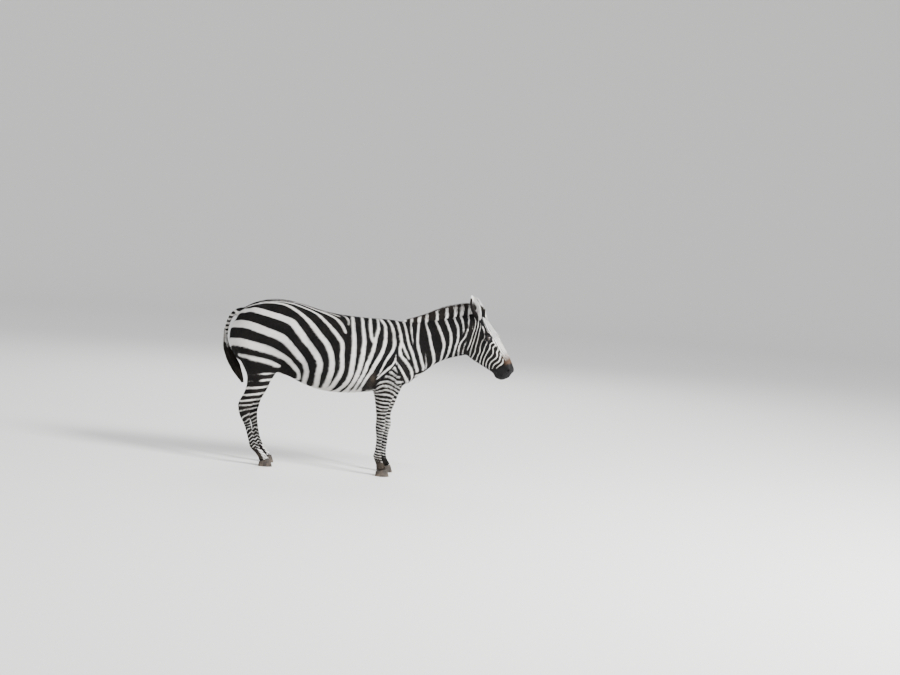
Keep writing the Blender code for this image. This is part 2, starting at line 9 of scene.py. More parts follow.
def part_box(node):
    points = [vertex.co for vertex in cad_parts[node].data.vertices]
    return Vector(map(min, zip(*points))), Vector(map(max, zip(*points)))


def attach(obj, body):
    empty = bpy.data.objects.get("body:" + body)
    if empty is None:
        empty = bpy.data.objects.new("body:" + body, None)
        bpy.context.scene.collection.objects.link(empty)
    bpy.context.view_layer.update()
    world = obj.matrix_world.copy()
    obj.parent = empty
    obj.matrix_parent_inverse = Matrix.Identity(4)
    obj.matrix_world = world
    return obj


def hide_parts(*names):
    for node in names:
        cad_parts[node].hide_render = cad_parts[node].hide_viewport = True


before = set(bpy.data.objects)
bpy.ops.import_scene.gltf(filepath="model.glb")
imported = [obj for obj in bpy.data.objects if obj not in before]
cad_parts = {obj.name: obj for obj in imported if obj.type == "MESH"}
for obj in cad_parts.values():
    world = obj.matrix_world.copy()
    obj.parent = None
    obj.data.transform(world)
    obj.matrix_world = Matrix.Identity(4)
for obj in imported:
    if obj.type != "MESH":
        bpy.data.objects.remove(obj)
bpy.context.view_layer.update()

# the tables below are drawn in a frame of their own, where the near fore hoof starts at x = 0.148
drawingShift = Vector((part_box("hoof_front_right")[0][0] - 0.148, 0, 0))

# a full turn, and the rounder one of the noise and of the chest's bands
fullTurn = 6.283
waveTurn = 6.28
# where the head sits on the neck: the poll, and its turns about x, y and z in degrees
head = {"poll": (0.900, -0.040, 1.354), "turns": (-4, 54, -22)}
headTurn = Euler([math.radians(a) for a in head["turns"]]).to_matrix().to_4x4()
headMatrix = Matrix.Translation(head["poll"]) @ headTurn
headAxes = np.array(headMatrix.to_3x3())
headPoint = np.array(head["poll"])


def metres(millimetres):
    return np.array(millimetres, float) / 1000


def toHead(points):
    return (np.asarray(points, float) - headPoint) @ headAxes


def fromHead(points):
    return np.asarray(points, float) @ headAxes.T + headPoint


def ramp(value, low, high):
    # rises smoothly from 0 at low to 1 at high
    t = np.clip((value - low) / (high - low), 0, 1)
    return t * t * (3 - 2 * t)


def fade(value, low, high):
    # the other way round: 1 up to low, 0 from high
    return ramp(-value, -high, -low)


def blend(first, second, weight):
    return first * (1 - weight) + second * weight


def unit(vectors):
    return vectors / np.maximum(np.linalg.norm(vectors, axis=-1, keepdims=True), 1e-9)


def wobble(points, scale, seed):
    # smooth noise from -1 to 1, scale in waves per metre
    total = np.zeros(len(points))
    rng = np.random.default_rng(seed)
    for strength in (0.5, 0.3, 0.2):
        waves = rng.normal(size=(2, 3)) * scale * waveTurn
        shift = rng.uniform(0, waveTurn, 2)
        bend = 1.3 * np.sin(points @ waves[1] * 0.7 + shift[1])
        total += strength * np.sin(points @ waves[0] + shift[0] + bend)
        scale *= 1.9
    return total


def smoothLine(points, steps=7):
    # a rounded line through the given points
    p = np.asarray(points, float)
    p = np.vstack([2 * p[0] - p[1], p, 2 * p[-1] - p[-2]])
    t = np.linspace(0, 1, steps, endpoint=False)[:, None]
    parts = []
    for a, b, c, d in zip(p, p[1:], p[2:], p[3:]):
        square, cube = 2 * a - 5 * b + 4 * c - d, 3 * b - a - 3 * c + d
        parts.append(0.5 * (2 * b + (c - a) * t + square * t**2 + cube * t**3))
    return np.vstack([*parts, p[-2:-1]])


def lineDistance(points, line, reach):
    # distance to a line, and how far along it from 0 to 1; far points keep a large distance
    distance = np.full(len(points), 9.0)
    along = np.zeros(len(points))
    low, high = line.min(0) - reach, line.max(0) + reach
    near = np.nonzero(((points > low) & (points < high)).all(1))[0]
    if not len(near):
        return distance, along
    p = points[near]
    best = np.full(len(p), 81.0)
    place = np.zeros(len(p))
    lengths = np.linalg.norm(np.diff(line, axis=0), axis=1)
    starts = np.concatenate([[0], np.cumsum(lengths)])
    for i, (a, b) in enumerate(zip(line, line[1:])):
        ab = b - a
        t = np.clip((p - a) @ ab / max(ab @ ab, 1e-12), 0, 1)
        d = ((p - a - t[:, None] * ab) ** 2).sum(1)
        closer = d < best
        best = np.where(closer, d, best)
        place = np.where(closer, starts[i] + t * lengths[i], place)
    distance[near] = np.sqrt(best)
    along[near] = place / starts[-1]
    return distance, along


# camera, floor and light: a long lens far off, about 2.1 m above the floor
view = {
    "target": (0.669, 0.0, 1.157),
    "azimuth": 6.0,
    "elevation": 4.02,
    "roll": 3.94,
    "distance": 13.5,
    "lens": 66.6,
}


def addCamera():
    azimuth, elevation, roll = (math.radians(view[k]) for k in ("azimuth", "elevation", "roll"))
    level = math.cos(elevation)
    back = Vector((math.sin(azimuth) * level, -math.cos(azimuth) * level, math.sin(elevation)))
    right = Vector((0, 0, 1)).cross(back).normalized()
    up = back.cross(right)
    camera = bpy.data.objects.new("camera", bpy.data.cameras.new("camera"))
    bpy.context.collection.objects.link(camera)
    camera.data.lens = view["lens"]
    camera.data.sensor_width = 36
    camera.data.clip_end = 200
    turned = Matrix((right, up, back)).transposed().to_4x4() @ Matrix.Rotation(roll, 4, "Z")
    place = Vector(view["target"]) + drawingShift + back * view["distance"]
    camera.matrix_world = Matrix.Translation(place) @ turned
    bpy.context.scene.camera = camera


def addLights():
    for name, place, size, power in (
        ("keyLight", (8.0, -4.6, 6.8), 3.0, 3300),
        ("fillLight", (-5.5, -7.0, 3.5), 5.0, 120),
        ("backLight", (-1.0, 7.5, 6.5), 6.0, 500),
    ):
        lamp = bpy.data.objects.new(name, bpy.data.lights.new(name, "AREA"))
        bpy.context.collection.objects.link(lamp)
        lamp.data.size = size
        lamp.data.energy = power
        lamp.location = place
        lamp.rotation_euler = (Vector((0, 0, 0.9)) - lamp.location).to_track_quat("-Z", "Y").to_euler()
    world = bpy.data.worlds.new("softSky")
    world.use_nodes = True
    world.node_tree.nodes["Background"].inputs["Color"].default_value = (0.93, 0.94, 0.96, 1)
    world.node_tree.nodes["Background"].inputs["Strength"].default_value = 0.85
    bpy.context.scene.world = world


def newMaterial(name):
    made = bpy.data.materials.new(name)
    made.use_nodes = True
    return made, made.node_tree, made.node_tree.nodes["Principled BSDF"]


def plainMaterial(name, colour, rough):
    made, _, shader = newMaterial(name)
    shader.inputs["Base Color"].default_value = (*colour, 1)
    shader.inputs["Roughness"].default_value = rough
    return made


floorPlan = {"radius": 20, "curve": 1.6, "steps": 9, "reach": 22, "colour": (0.80, 0.795, 0.78), "rough": 0.9}


def addFloor():
    # a flat disc that curves up into a wall all round, so that no horizon shows
    bpy.ops.object.select_all(action="DESELECT")
    bpy.ops.mesh.primitive_circle_add(vertices=96, radius=floorPlan["radius"], fill_type="NGON")
    floor = bpy.context.object
    floor.name = "floor"
    bpy.ops.object.mode_set(mode="EDIT")
    for i in range(floorPlan["steps"]):
        angle = math.radians(90 / floorPlan["steps"] * (i + 0.5))
        lift = floorPlan["curve"] * math.sin(angle)
        bpy.ops.mesh.extrude_edges_move(TRANSFORM_OT_translate={"value": (0, 0, lift)})
        grow = 1 + floorPlan["curve"] * math.cos(angle) / floorPlan["reach"]
        bpy.ops.transform.resize(value=(grow, grow, 1))
    bpy.ops.object.mode_set(mode="OBJECT")
    floor.data.shade_smooth()
    floor.data.materials.append(plainMaterial("paleFloor", floorPlan["colour"], floorPlan["rough"]))


addCamera()
addLights()
addFloor()
print("stage: camera, lights and floor")


def readAll(items, what, each=3, kind=np.float32):
    values = np.empty(len(items) * each, kind)
    items.foreach_get(what, values)
    return values.reshape(-1, each)


def readPoints(obj, what="co"):
    return readAll(obj.data.vertices, what).astype(float)


def writePoints(obj, points):
    obj.data.vertices.foreach_set("co", points.astype(np.float32).ravel())
    obj.data.update()


def writeValues(obj, name, values):
    layer = obj.data.attributes.new(name, "FLOAT", "POINT")
    layer.data.foreach_set("value", np.asarray(values, np.float32))


def meshPiece(name, points, faces):
    mesh = bpy.data.meshes.new(name)
    mesh.vertices.add(len(points))
    mesh.vertices.foreach_set("co", points.astype(np.float32).ravel())
    mesh.loops.add(faces.size)
    mesh.loops.foreach_set("vertex_index", faces.astype(np.int32).ravel())
    mesh.polygons.add(len(faces))
    mesh.polygons.foreach_set("loop_start", np.arange(0, faces.size, faces.shape[1], dtype=np.int32))
    mesh.update(calc_edges=True)
    mesh.shade_smooth()
    made = bpy.data.objects.new(name, mesh)
    bpy.context.collection.objects.link(made)
    return made


def activate(obj):
    bpy.ops.object.select_all(action="DESELECT")
    obj.select_set(True)
    bpy.context.view_layer.objects.active = obj


def applyModifier(obj, kind, **settings):
    activate(obj)
    modifier = obj.modifiers.new(kind.lower(), kind)
    for key, value in settings.items():
        setattr(modifier, key, value)
    bpy.ops.object.modifier_apply(modifier=modifier.name)


def smooth(obj, rounds):
    applyModifier(obj, "SMOOTH", factor=0.5, iterations=rounds)


def remesh(obj, voxel):
    applyModifier(obj, "REMESH", mode="VOXEL", voxel_size=voxel)


def copyNodes(names, name):
    # one mesh from copies of CAD nodes, with their loose triangles merged
    bpy.ops.object.select_all(action="DESELECT")
    for node in names:
        made = bpy.data.objects.new(name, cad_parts[node].data.copy())
        bpy.context.collection.objects.link(made)
        made.select_set(True)
    bpy.context.view_layer.objects.active = made
    if len(names) > 1:
        bpy.ops.object.join()
    bpy.ops.object.mode_set(mode="EDIT")
    bpy.ops.mesh.select_all(action="SELECT")
    bpy.ops.mesh.remove_doubles(threshold=0.00002)
    bpy.ops.object.mode_set(mode="OBJECT")
    made.data.materials.clear()
    made.data.transform(Matrix.Translation(-drawingShift))
    made.name = name
    return made


def surfaceTree(obj):
    points = [v.co.copy() for v in obj.data.vertices]
    return BVHTree.FromPolygons(points, [tuple(f.vertices) for f in obj.data.polygons])


def evenOut(obj, values, rounds):
    # averages each point's value with its neighbours', round by round
    pairs = readAll(obj.data.edges, "vertices", 2, np.int32)
    one, two = pairs.T
    total = len(values)
    count = np.maximum(np.bincount(pairs.ravel(), minlength=total), 1)
    for _ in range(rounds):
        around = np.bincount(one, values[two], total) + np.bincount(two, values[one], total)
        values = 0.5 * values + 0.5 * around / count
    return values


def settle(obj, tree, depth, rounds):
    # moves the surface to the given depth under the tree's, without taking over its facets
    points, normals = readPoints(obj), readPoints(obj, "normal")
    height = np.zeros(len(points))
    for i, point in enumerate(points):
        near, normal, _, _ = tree.find_nearest(Vector(point))
        height[i] = (Vector(point) - near).dot(normal)
    move = evenOut(obj, np.clip(-depth - height, -0.02, 0.02), rounds)
    writePoints(obj, points + normals * move[:, None])


def refine(obj, chosen):
    # splits each chosen face in four; chosen takes the faces' middles
    activate(obj)
    picked = chosen(readAll(obj.data.polygons, "center").astype(float))
    bpy.context.tool_settings.mesh_select_mode = (False, False, True)
    bpy.ops.object.mode_set(mode="EDIT")
    bpy.ops.mesh.select_all(action="DESELECT")
    bpy.ops.object.mode_set(mode="OBJECT")
    obj.data.polygons.foreach_set("select", picked)
    bpy.ops.object.mode_set(mode="EDIT")
    bpy.ops.mesh.subdivide(number_cuts=1)
    bpy.ops.object.mode_set(mode="OBJECT")


def finishPiece(obj, finish, slot, *nodes):
    obj.data.materials.clear()
    obj.data.materials.append(finish)
    obj.data.transform(Matrix.Translation(drawingShift))
    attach(obj, "root")
    if nodes:
        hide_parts(*nodes)


def headness(points):
    # where each part of the body is, as weights from 0 to 1: here, in front of the throat and poll
    x, z = points[:, 0] - 0.826, points[:, 2] - 1.2
    return ramp(x * math.cos(math.radians(4)) - z * math.sin(math.radians(4)), -0.012, 0.012)


def neckness(points):
    x, z = points[:, 0] - 0.329, points[:, 2] - 1.04
    return ramp(x * 0.94 + z * 0.342, -0.05, 0.05) * (1 - headness(points))


def tailness(points):
    x, z = points[:, 0] + 1.102, points[:, 2] - 1.235
    behind = fade(x * 0.982 - z * 0.191, -0.008, 0.004)
    return behind * fade(np.abs(points[:, 1]), 0.05, 0.06) * ramp(z, -0.3, -0.27)


def legness(points):
    x, z = points[:, 0], points[:, 2]
    fore = fade(z, 0.66, 0.80) * ramp(x, -0.02, 0.03) * fade(x, 0.38, 0.42)
    hind = fade(z, 0.72, 0.84) * fade(x, -0.70, -0.62)
    return fore, hind


# skin: the fleshy nodes as one closed surface, inset by the coat's depth and shaped
skinPlan = {
    "voxel": 0.0112,
    "smoothing": 6,
    "depthBody": 0.0055,
    "depthLegs": 0.0030,
    "depthHead": 0.0028,
    "muzzleFrom": 0.44,
    "eyeReach": (0.040, 0.033),
    "flesh": [
        "trunk", "neck", "head", "tail",
        "leg_front_right", "leg_front_left", "leg_hind_right", "leg_hind_left",
    ],
}
eyePlan = {
    "place": (0.217, 0.0840, 0.008),
    "radius": 0.0212,
    "outward": (0.16, 0.95, 0.22),
    "length": 0.0180,
    "upper": 0.0105,
    "lower": 0.0085,
}
# lines pressed into the skin or, with a negative depth, raised from it: points, width and depth, all in
# millimetres
bodyGrooves = {
    "shoulderFront": ([(150, -100, 1200), (290, -165, 1040), (345, -160, 880)], 26, 5),
    "tricepsRear": ([(0, -200, 1090), (50, -240, 930), (75, -230, 820), (110, -190, 740)], 22, 7),
    "elbow": ([(85, -200, 735), (130, -200, 700), (170, -190, 690)], 15, 4),
    "flank": ([(-470, -240, 1150), (-460, -270, 1000), (-500, -250, 840)], 50, 10),
    "flankFold": ([(-500, -220, 800), (-550, -230, 860), (-600, -240, 950)], 18, 4),
    "thigh": ([(-860, -230, 1140), (-900, -215, 980), (-885, -180, 840)], 18, 4),
    "hipPoint": ([(-560, -190, 1240), (-600, -200, 1210)], 45, -7),
    "gaskin": ([(-830, -190, 780), (-880, -165, 680), (-930, -152, 600)], 12, 4),
    "jugular": ([(800, -120, 1140), (640, -110, 1030), (470, -115, 900)], 16, 5),
    "neckMuscle": ([(740, -120, 1250), (580, -125, 1150), (400, -140, 1060)], 24, 3),
    "chestMiddle": ([(440, 0, 930), (420, 0, 820), (360, 0, 740)], 16, 8),
    "ribOne": ([(-60, -250, 1100), (-100, -280, 920), (-140, -250, 780)], 14, 1.6),
    "ribTwo": ([(-130, -250, 1100), (-180, -280, 920), (-220, -250, 790)], 14, 2),
    "ribThree": ([(-200, -250, 1100), (-260, -280, 930), (-300, -250, 810)], 14, 2.2),
    "ribFour": ([(-270, -250, 1100), (-340, -280, 950), (-380, -250, 840)], 14, 2),
    "foreTendonOut": ([(146, -152, 335), (142, -150, 250), (140, -152, 175)], 7.5, 4),
    "foreTendonIn": ([(146, -100, 335), (142, -101, 250), (140, -99, 175)], 7.5, 4),
    "hindTendonOut": ([(-950, -142, 360), (-925, -139, 280), (-897, -141, 205)], 8, 4),
    "hindTendonIn": ([(-950, -88, 360), (-925, -91, 280), (-897, -89, 205)], 8, 4),
    "hockOut": ([(-925, -155, 640), (-965, -150, 570), (-990, -150, 520)], 13, 6),
    "hockIn": ([(-925, -80, 640), (-965, -82, 570), (-990, -82, 520)], 13, 6),
    "kneeOut": ([(178, -163, 430), (184, -163, 380)], 12, -2.5),
    "pasternFront": ([(165, -152, 118), (172, -152, 100)], 10, 2.5),
}
headGrooves = {
    "cheekFront": ([(250, 80, -70), (262, 62, -125), (262, 35, -180)], 10, 4),
    "cheekRear": ([(70, 78, -80), (85, 80, -160), (120, 60, -215)], 16, 3.5),
    "faceCrest": ([(245, 85, -40), (300, 68, -34), (345, 55, -30)], 8, -3),
    "temple": ([(140, 62, 38), (165, 70, 34)], 17, 5),
    "browEdge": ([(185, 78, 40), (215, 82, 44), (245, 72, 40)], 10, -3.5),
    "noseSide": ([(300, 56, 12), (370, 48, 6), (450, 44, -4)], 10, 3),
    "bridge": ([(260, 0, 52), (420, 0, 44)], 14, -1.5),
    "chinFold": ([(480, 40, -96), (486, 15, -104), (488, 0, -106)], 8, 3),
    "lipCorner": ([(448, 50, -62), (455, 50, -78)], 6, 2.5),
    "mouth": ([(560, 0, -50), (540, 34, -55), (500, 50, -64), (456, 50, -64)], 2.4, 6),
    "vein": ([(262, 78, -60), (300, 60, -85), (360, 50, -90)], 3, -1.2),
}
nostrilPlan = {
    "place": (0.519, 0.044, 0.004),
    "along": (0.55, -0.10, -0.83),
    "half": (0.0165, 0.0075),
    "depth": 0.016,
}


def pressGrooves(points, normals, grooves):
    # the grooves are drawn on one side, and are pressed into both
    moved = np.zeros(len(points))
    for line, width, depth in grooves.values():
        width, depth = width / 1000, depth / 1000
        for side in (1, -1):
            path = smoothLine(metres(line)) * (1, side, 1)
            distance, _ = lineDistance(points, path, 3 * width)
            moved = np.where(distance < 3 * width, moved - depth * np.exp(-((distance / width) ** 2)), moved)
    return points + normals * moved[:, None]


def eyeAxes(side):
    outward = unit(np.array(eyePlan["outward"]) * (1, side, 1))
    forward = np.array((1.0, 0, -0.16))
    forward = unit(forward - outward * (forward @ outward))
    upward = np.cross(forward, outward) * side * -1
    return outward, forward, upward


def shapeLids(points):
    # the skin slips behind the eyeball inside the opening, and hugs it as two lids round the opening
    for side in (1, -1):
        centre = np.array(eyePlan["place"]) * (1, side, 1)
        outward, forward, upward = eyeAxes(side)
        q = points - centre
        far = np.linalg.norm(q, axis=1)
        near = (far < 0.045) & (q @ outward > -0.002)
        a, b = q[near] @ forward, q[near] @ upward
        high = np.where(b > 0, eyePlan["upper"], eyePlan["lower"])
        e = (np.abs(a / eyePlan["length"]) ** 1.6 + np.abs(b / high) ** 1.6) ** (1 / 1.6)
        d = (e - 1) * high
        radius = eyePlan["radius"]
        target = radius - 0.0045 + 0.0053 * ramp(d, -0.0016, 0.0006) + 0.0022 * ramp(d, 0.0004, 0.0026)
        target += 0.0012 * ramp(b, 0.004, 0.012) * fade(d, 0.002, 0.008)
        weight = 1 - ramp(d, 0.0045, 0.018)
        crease = 0.0016 * np.exp(-(((d - 0.0072) / 0.0016) ** 2)) * (0.4 + 0.6 * (b > 0))
        crease += 0.0008 * np.exp(-(((d - 0.0125) / 0.0018) ** 2))
        newFar = blend(far[near], target, weight) - crease
        points[near] = centre + unit(q[near]) * newFar[:, None]
    return points


def openNostrils(points, normals):
    for side in (1, -1):
        centre = np.array(nostrilPlan["place"]) * (1, side, 1)
        along = unit(np.array(nostrilPlan["along"]) * (1, side, 1))
        q = points - centre
        near = np.linalg.norm(q, axis=1) < 0.045
        inward = -unit(normals[near][np.argsort(np.linalg.norm(q[near], axis=1))[:40]].mean(0))
        inward = unit(inward + np.array((-0.55, 0, 0)))
        cross = np.cross(inward, along)
        a, b = q[near] @ along / nostrilPlan["half"][0], q[near] @ cross / nostrilPlan["half"][1]
        b = b + 0.35 * (a**2 - 0.3)
        e = np.sqrt(a**2 + b**2)
        pit = nostrilPlan["depth"] * (1 - ramp(e, 0.25, 1.0))
        rim = 0.0026 * np.exp(-(((e - 1.30) / 0.34) ** 2))
        points[near] += inward * pit[:, None] + normals[near] * rim[:, None]
    return points


def eyeDistance(points):
    local = toHead(points)
    local[:, 1] = np.abs(local[:, 1])
    return np.linalg.norm(local - np.array(eyePlan["place"]), axis=1)


def buildSkin():
    skin = copyNodes([*skinPlan["flesh"], "eye_right", "eye_left"], "skin")
    remesh(skin, skinPlan["voxel"])
    outline = surfaceTree(skin)
    smooth(skin, skinPlan["smoothing"])
    points = readPoints(skin)
    fore, hind = legness(points)
    slim = np.maximum.reduce([fore, hind, tailness(points) * 0.6])
    depth = skinPlan["depthBody"] + (skinPlan["depthLegs"] - skinPlan["depthBody"]) * slim
    depth = depth + (skinPlan["depthHead"] - depth) * headness(points)
    settle(skin, outline, depth, 7)
    refine(skin, isFine)
    smooth(skin, 1)
    wide, close = skinPlan["eyeReach"]
    refine(skin, lambda p: isMuzzle(p) | (eyeDistance(p) < wide))
    refine(skin, lambda p: eyeDistance(p) < close)
    smooth(skin, 1)
    points, normals = readPoints(skin), readPoints(skin, "normal")
    points = pressGrooves(points, normals, bodyGrooves)
    local, turned = toHead(points), normals @ headAxes
    onHead = headness(points) > 0.3
    shaped = pressGrooves(local[onHead], turned[onHead], headGrooves)
    shaped = openNostrils(shaped, turned[onHead])
    shaped = shapeLids(shaped)
    points[onHead] = fromHead(shaped)
    writePoints(skin, points)
    skin.data.shade_smooth()
    return skin


def isFine(points):
    # the head and the lower legs get smaller faces
    x, y, z = points.T
    foreLeg = (z < 0.62) & (x > -0.03) & (x < 0.5) & (np.abs(y) > 0.03)
    hindLeg = (z < 0.66) & (x < -0.62)
    return (headness(points) > 0.5) | foreLeg | hindLeg


def isMuzzle(points):
    return (headness(points) > 0.5) & (toHead(points)[:, 0] > skinPlan["muzzleFrom"])


skin = buildSkin()
skinTree = surfaceTree(skin)
print("skin:", sum(len(f.vertices) - 2 for f in skin.data.polygons), "triangles")


# markings: white lines on black. Points run along each line on the right side, in millimetres, and
# the last three numbers are half widths at its start, middle and end.
whiteLines = {
    "rumpHigh": ([
        (-930, -16, 1340), (-800, -36, 1366), (-700, -38, 1371), (-580, -24, 1355), (-470, -42, 1323),
        (-362, -64, 1293), (-262, -104, 1256), (-188, -165, 1203), (-150, -210, 1150)
    ], (6, 12, 15)),
    "rumpOne": ([
        (-900, -78, 1338), (-801, -84, 1353), (-660, -78, 1354), (-578, -80, 1340), (-424, -108, 1287),
        (-310, -175, 1211), (-212, -229, 1122), (-163, -250, 1055), (-156, -278, 963), (-152, -272, 848),
        (-212, -209, 735), (-285, -100, 665), (-320, -30, 652)
    ], (8, 17, 21)),
    "rumpTwo": ([
        (-1020, -75, 1288), (-930, -96, 1321), (-801, -105, 1340), (-678, -115, 1331), (-569, -150, 1292),
        (-456, -196, 1219), (-355, -244, 1120), (-275, -272, 1035), (-236, -286, 937), (-238, -269, 823),
        (-300, -157, 683), (-340, -50, 660)
    ], (10, 22, 24)),
    "rumpThree": ([
        (-1100, -35, 1222), (-1060, -70, 1242), (-960, -160, 1275), (-828, -205, 1263), (-688, -220, 1234),
        (-586, -228, 1198), (-525, -246, 1140), (-446, -271, 1050), (-368, -286, 962), (-330, -286, 885),
        (-344, -257, 796), (-380, -124, 675), (-400, -40, 672)
    ], (26, 30, 23)),
    "rumpFour": ([
        (-1120, -50, 1090), (-1105, -110, 1135), (-1030, -180, 1154), (-931, -230, 1150),
        (-776, -259, 1110), (-650, -267, 1068), (-563, -274, 990), (-481, -276, 895), (-448, -247, 800),
        (-478, -135, 706), (-480, -50, 700)
    ], (33, 33, 21)),
    "rumpFive": ([
        (-1120, -50, 970), (-1100, -130, 1000), (-1020, -210, 1008), (-919, -243, 996), (-769, -251, 965),
        (-660, -249, 922), (-584, -248, 870), (-526, -225, 800), (-522, -166, 735), (-560, -80, 720)
    ], (33, 34, 16)),
    "rumpSix": ([
        (-1020, -175, 908), (-960, -210, 902), (-900, -230, 889), (-814, -237, 875), (-740, -220, 860),
        (-675, -200, 832)
    ], (15, 21, 19)),
    "buttockEdge": ([
        (-1118, -60, 1100), (-1126, -65, 1030), (-1118, -85, 960), (-1095, -105, 895)
    ], (10, 13, 10)),
    "backShort": ([(-420, -18, 1314), (-320, -36, 1293), (-228, -70, 1270)], (5, 9, 9)),
    "sideZero": ([(-215, -20, 1280), (-172, -70, 1262), (-145, -120, 1232), (-139, -150, 1205)], (7, 9, 6)),
    "sideOne": ([
        (-137, -10, 1276), (-122, -60, 1262), (-96, -166, 1196), (-71, -233, 1089), (-65, -266, 958),
        (-82, -250, 811), (-125, -200, 735), (-190, -130, 680), (-240, -40, 650)
    ], (14, 22, 19)),
    "sideTwo": ([
        (-57, -10, 1271), (-46, -50, 1260), (-20, -148, 1200), (8, -214, 1093), (9, -248, 988),
        (-10, -253, 868), (-55, -212, 760), (-105, -150, 695), (-150, -40, 652)
    ], (13, 20, 17)),
    "forkBack": ([
        (12, -10, 1270), (23, -70, 1250), (41, -144, 1190), (60, -182, 1128), (78, -200, 1090)
    ], (12, 14, 15)),
    "forkFront": ([
        (68, -10, 1271), (84, -60, 1255), (104, -132, 1193), (97, -180, 1128), (91, -207, 1068),
        (81, -229, 1002), (58, -243, 935), (38, -241, 861), (-10, -208, 762), (-60, -130, 690),
        (-90, -30, 655)
    ], (11, 17, 14)),
    "sideFour": ([
        (90, -5, 1272), (121, -55, 1248), (155, -105, 1211), (171, -165, 1123), (164, -198, 1043),
        (144, -216, 981), (112, -228, 917), (80, -226, 847), (36, -205, 775), (-15, -130, 700),
        (-35, -30, 662)
    ], (12, 18, 11)),
    "sideFive": ([
        (152, -5, 1270), (178, -50, 1250), (213, -97, 1210), (241, -172, 1129), (247, -189, 1069),
        (228, -195, 1012), (194, -211, 953), (162, -216, 880), (134, -212, 825)
    ], (11, 15, 9)),
    "shoulderOne": ([
        (222, -5, 1262), (245, -50, 1245), (267, -90, 1208), (294, -158, 1153), (305, -166, 1108),
        (299, -177, 1051), (307, -176, 1000), (338, -165, 961), (368, -150, 921), (394, -123, 869),
        (398, -84, 814), (380, -40, 765)
    ], (11, 14, 13)),
    "shoulderSplit": ([
        (306, -166, 1108), (326, -161, 1062), (352, -157, 1007), (373, -156, 968)
    ], (12, 12, 7)),
    "shoulderTwo": ([
        (280, -5, 1262), (297, -40, 1245), (327, -93, 1182), (353, -130, 1104), (386, -147, 1035),
        (410, -149, 972), (428, -128, 913), (437, -97, 870), (432, -60, 828), (420, -20, 790)
    ], (9, 12, 15)),
    "shoulderShort": ([(345, -5, 1270), (368, -91, 1185), (392, -131, 1097)], (8, 9, 5)),
    "chevronRear": ([
        (267, -189, 1000), (263, -196, 957), (242, -209, 916), (204, -217, 877), (161, -217, 833),
        (128, -206, 798)
    ], (7, 11, 9)),
    "chevronFront": ([
        (266, -197, 953), (291, -196, 924), (324, -186, 879), (350, -151, 826), (362, -90, 772),
        (350, -30, 735)
    ], (8, 13, 13)),
    "neckOne": ([
        (414, -10, 1275), (418, -70, 1215), (421, -110, 1149), (433, -134, 1077), (455, -135, 1010),
        (471, -126, 956), (484, -89, 904), (470, -30, 868)
    ], (10, 12, 13)),
    "neckTwo": ([
        (462, -12, 1292), (474, -47, 1261), (512, -100, 1180), (536, -124, 1097), (558, -118, 1030),
        (566, -78, 960), (551, -40, 928), (535, -10, 905)
    ], (9, 13, 13)),
    "neckSliver": ([(495, -132, 1026), (506, -110, 957), (501, -53, 890)], (3, 6, 8)),
    "neckThree": ([
        (525, -14, 1318), (547, -35, 1295), (599, -97, 1212), (631, -117, 1141), (640, -119, 1085),
        (628, -95, 1015), (616, -44, 967), (605, -10, 952)
    ], (9, 13, 10)),
    "neckFour": ([
        (600, -22, 1342), (631, -55, 1308), (665, -95, 1247), (690, -117, 1183), (693, -119, 1109),
        (679, -96, 1038), (655, -43, 982), (645, -15, 972)
    ], (9, 12, 9)),
    "neckFive": ([
        (685, -28, 1362), (707, -69, 1317), (732, -100, 1271), (746, -116, 1224), (748, -123, 1150),
        (732, -113, 1086), (720, -81, 1027), (710, -30, 995)
    ], (8, 11, 8)),
    "neckSix": ([
        (740, -30, 1378), (754, -63, 1344), (780, -105, 1285), (790, -121, 1229), (783, -123, 1195)
    ], (8, 10, 4)),
    "neckEight": ([
        (832, -64, 1364), (850, -109, 1303), (847, -124, 1239), (833, -126, 1198), (820, -122, 1156),
        (807, -115, 1115), (797, -99, 1072), (785, -45, 1030)
    ], (5, 4.8, 4.8)),
    "neckSeven": ([
        (814, -41, 1371), (825, -104, 1311), (827, -121, 1255), (807, -125, 1184), (778, -121, 1136),
        (762, -112, 1094), (758, -84, 1039), (760, -40, 1008)
    ], (8, 7, 8)),
}
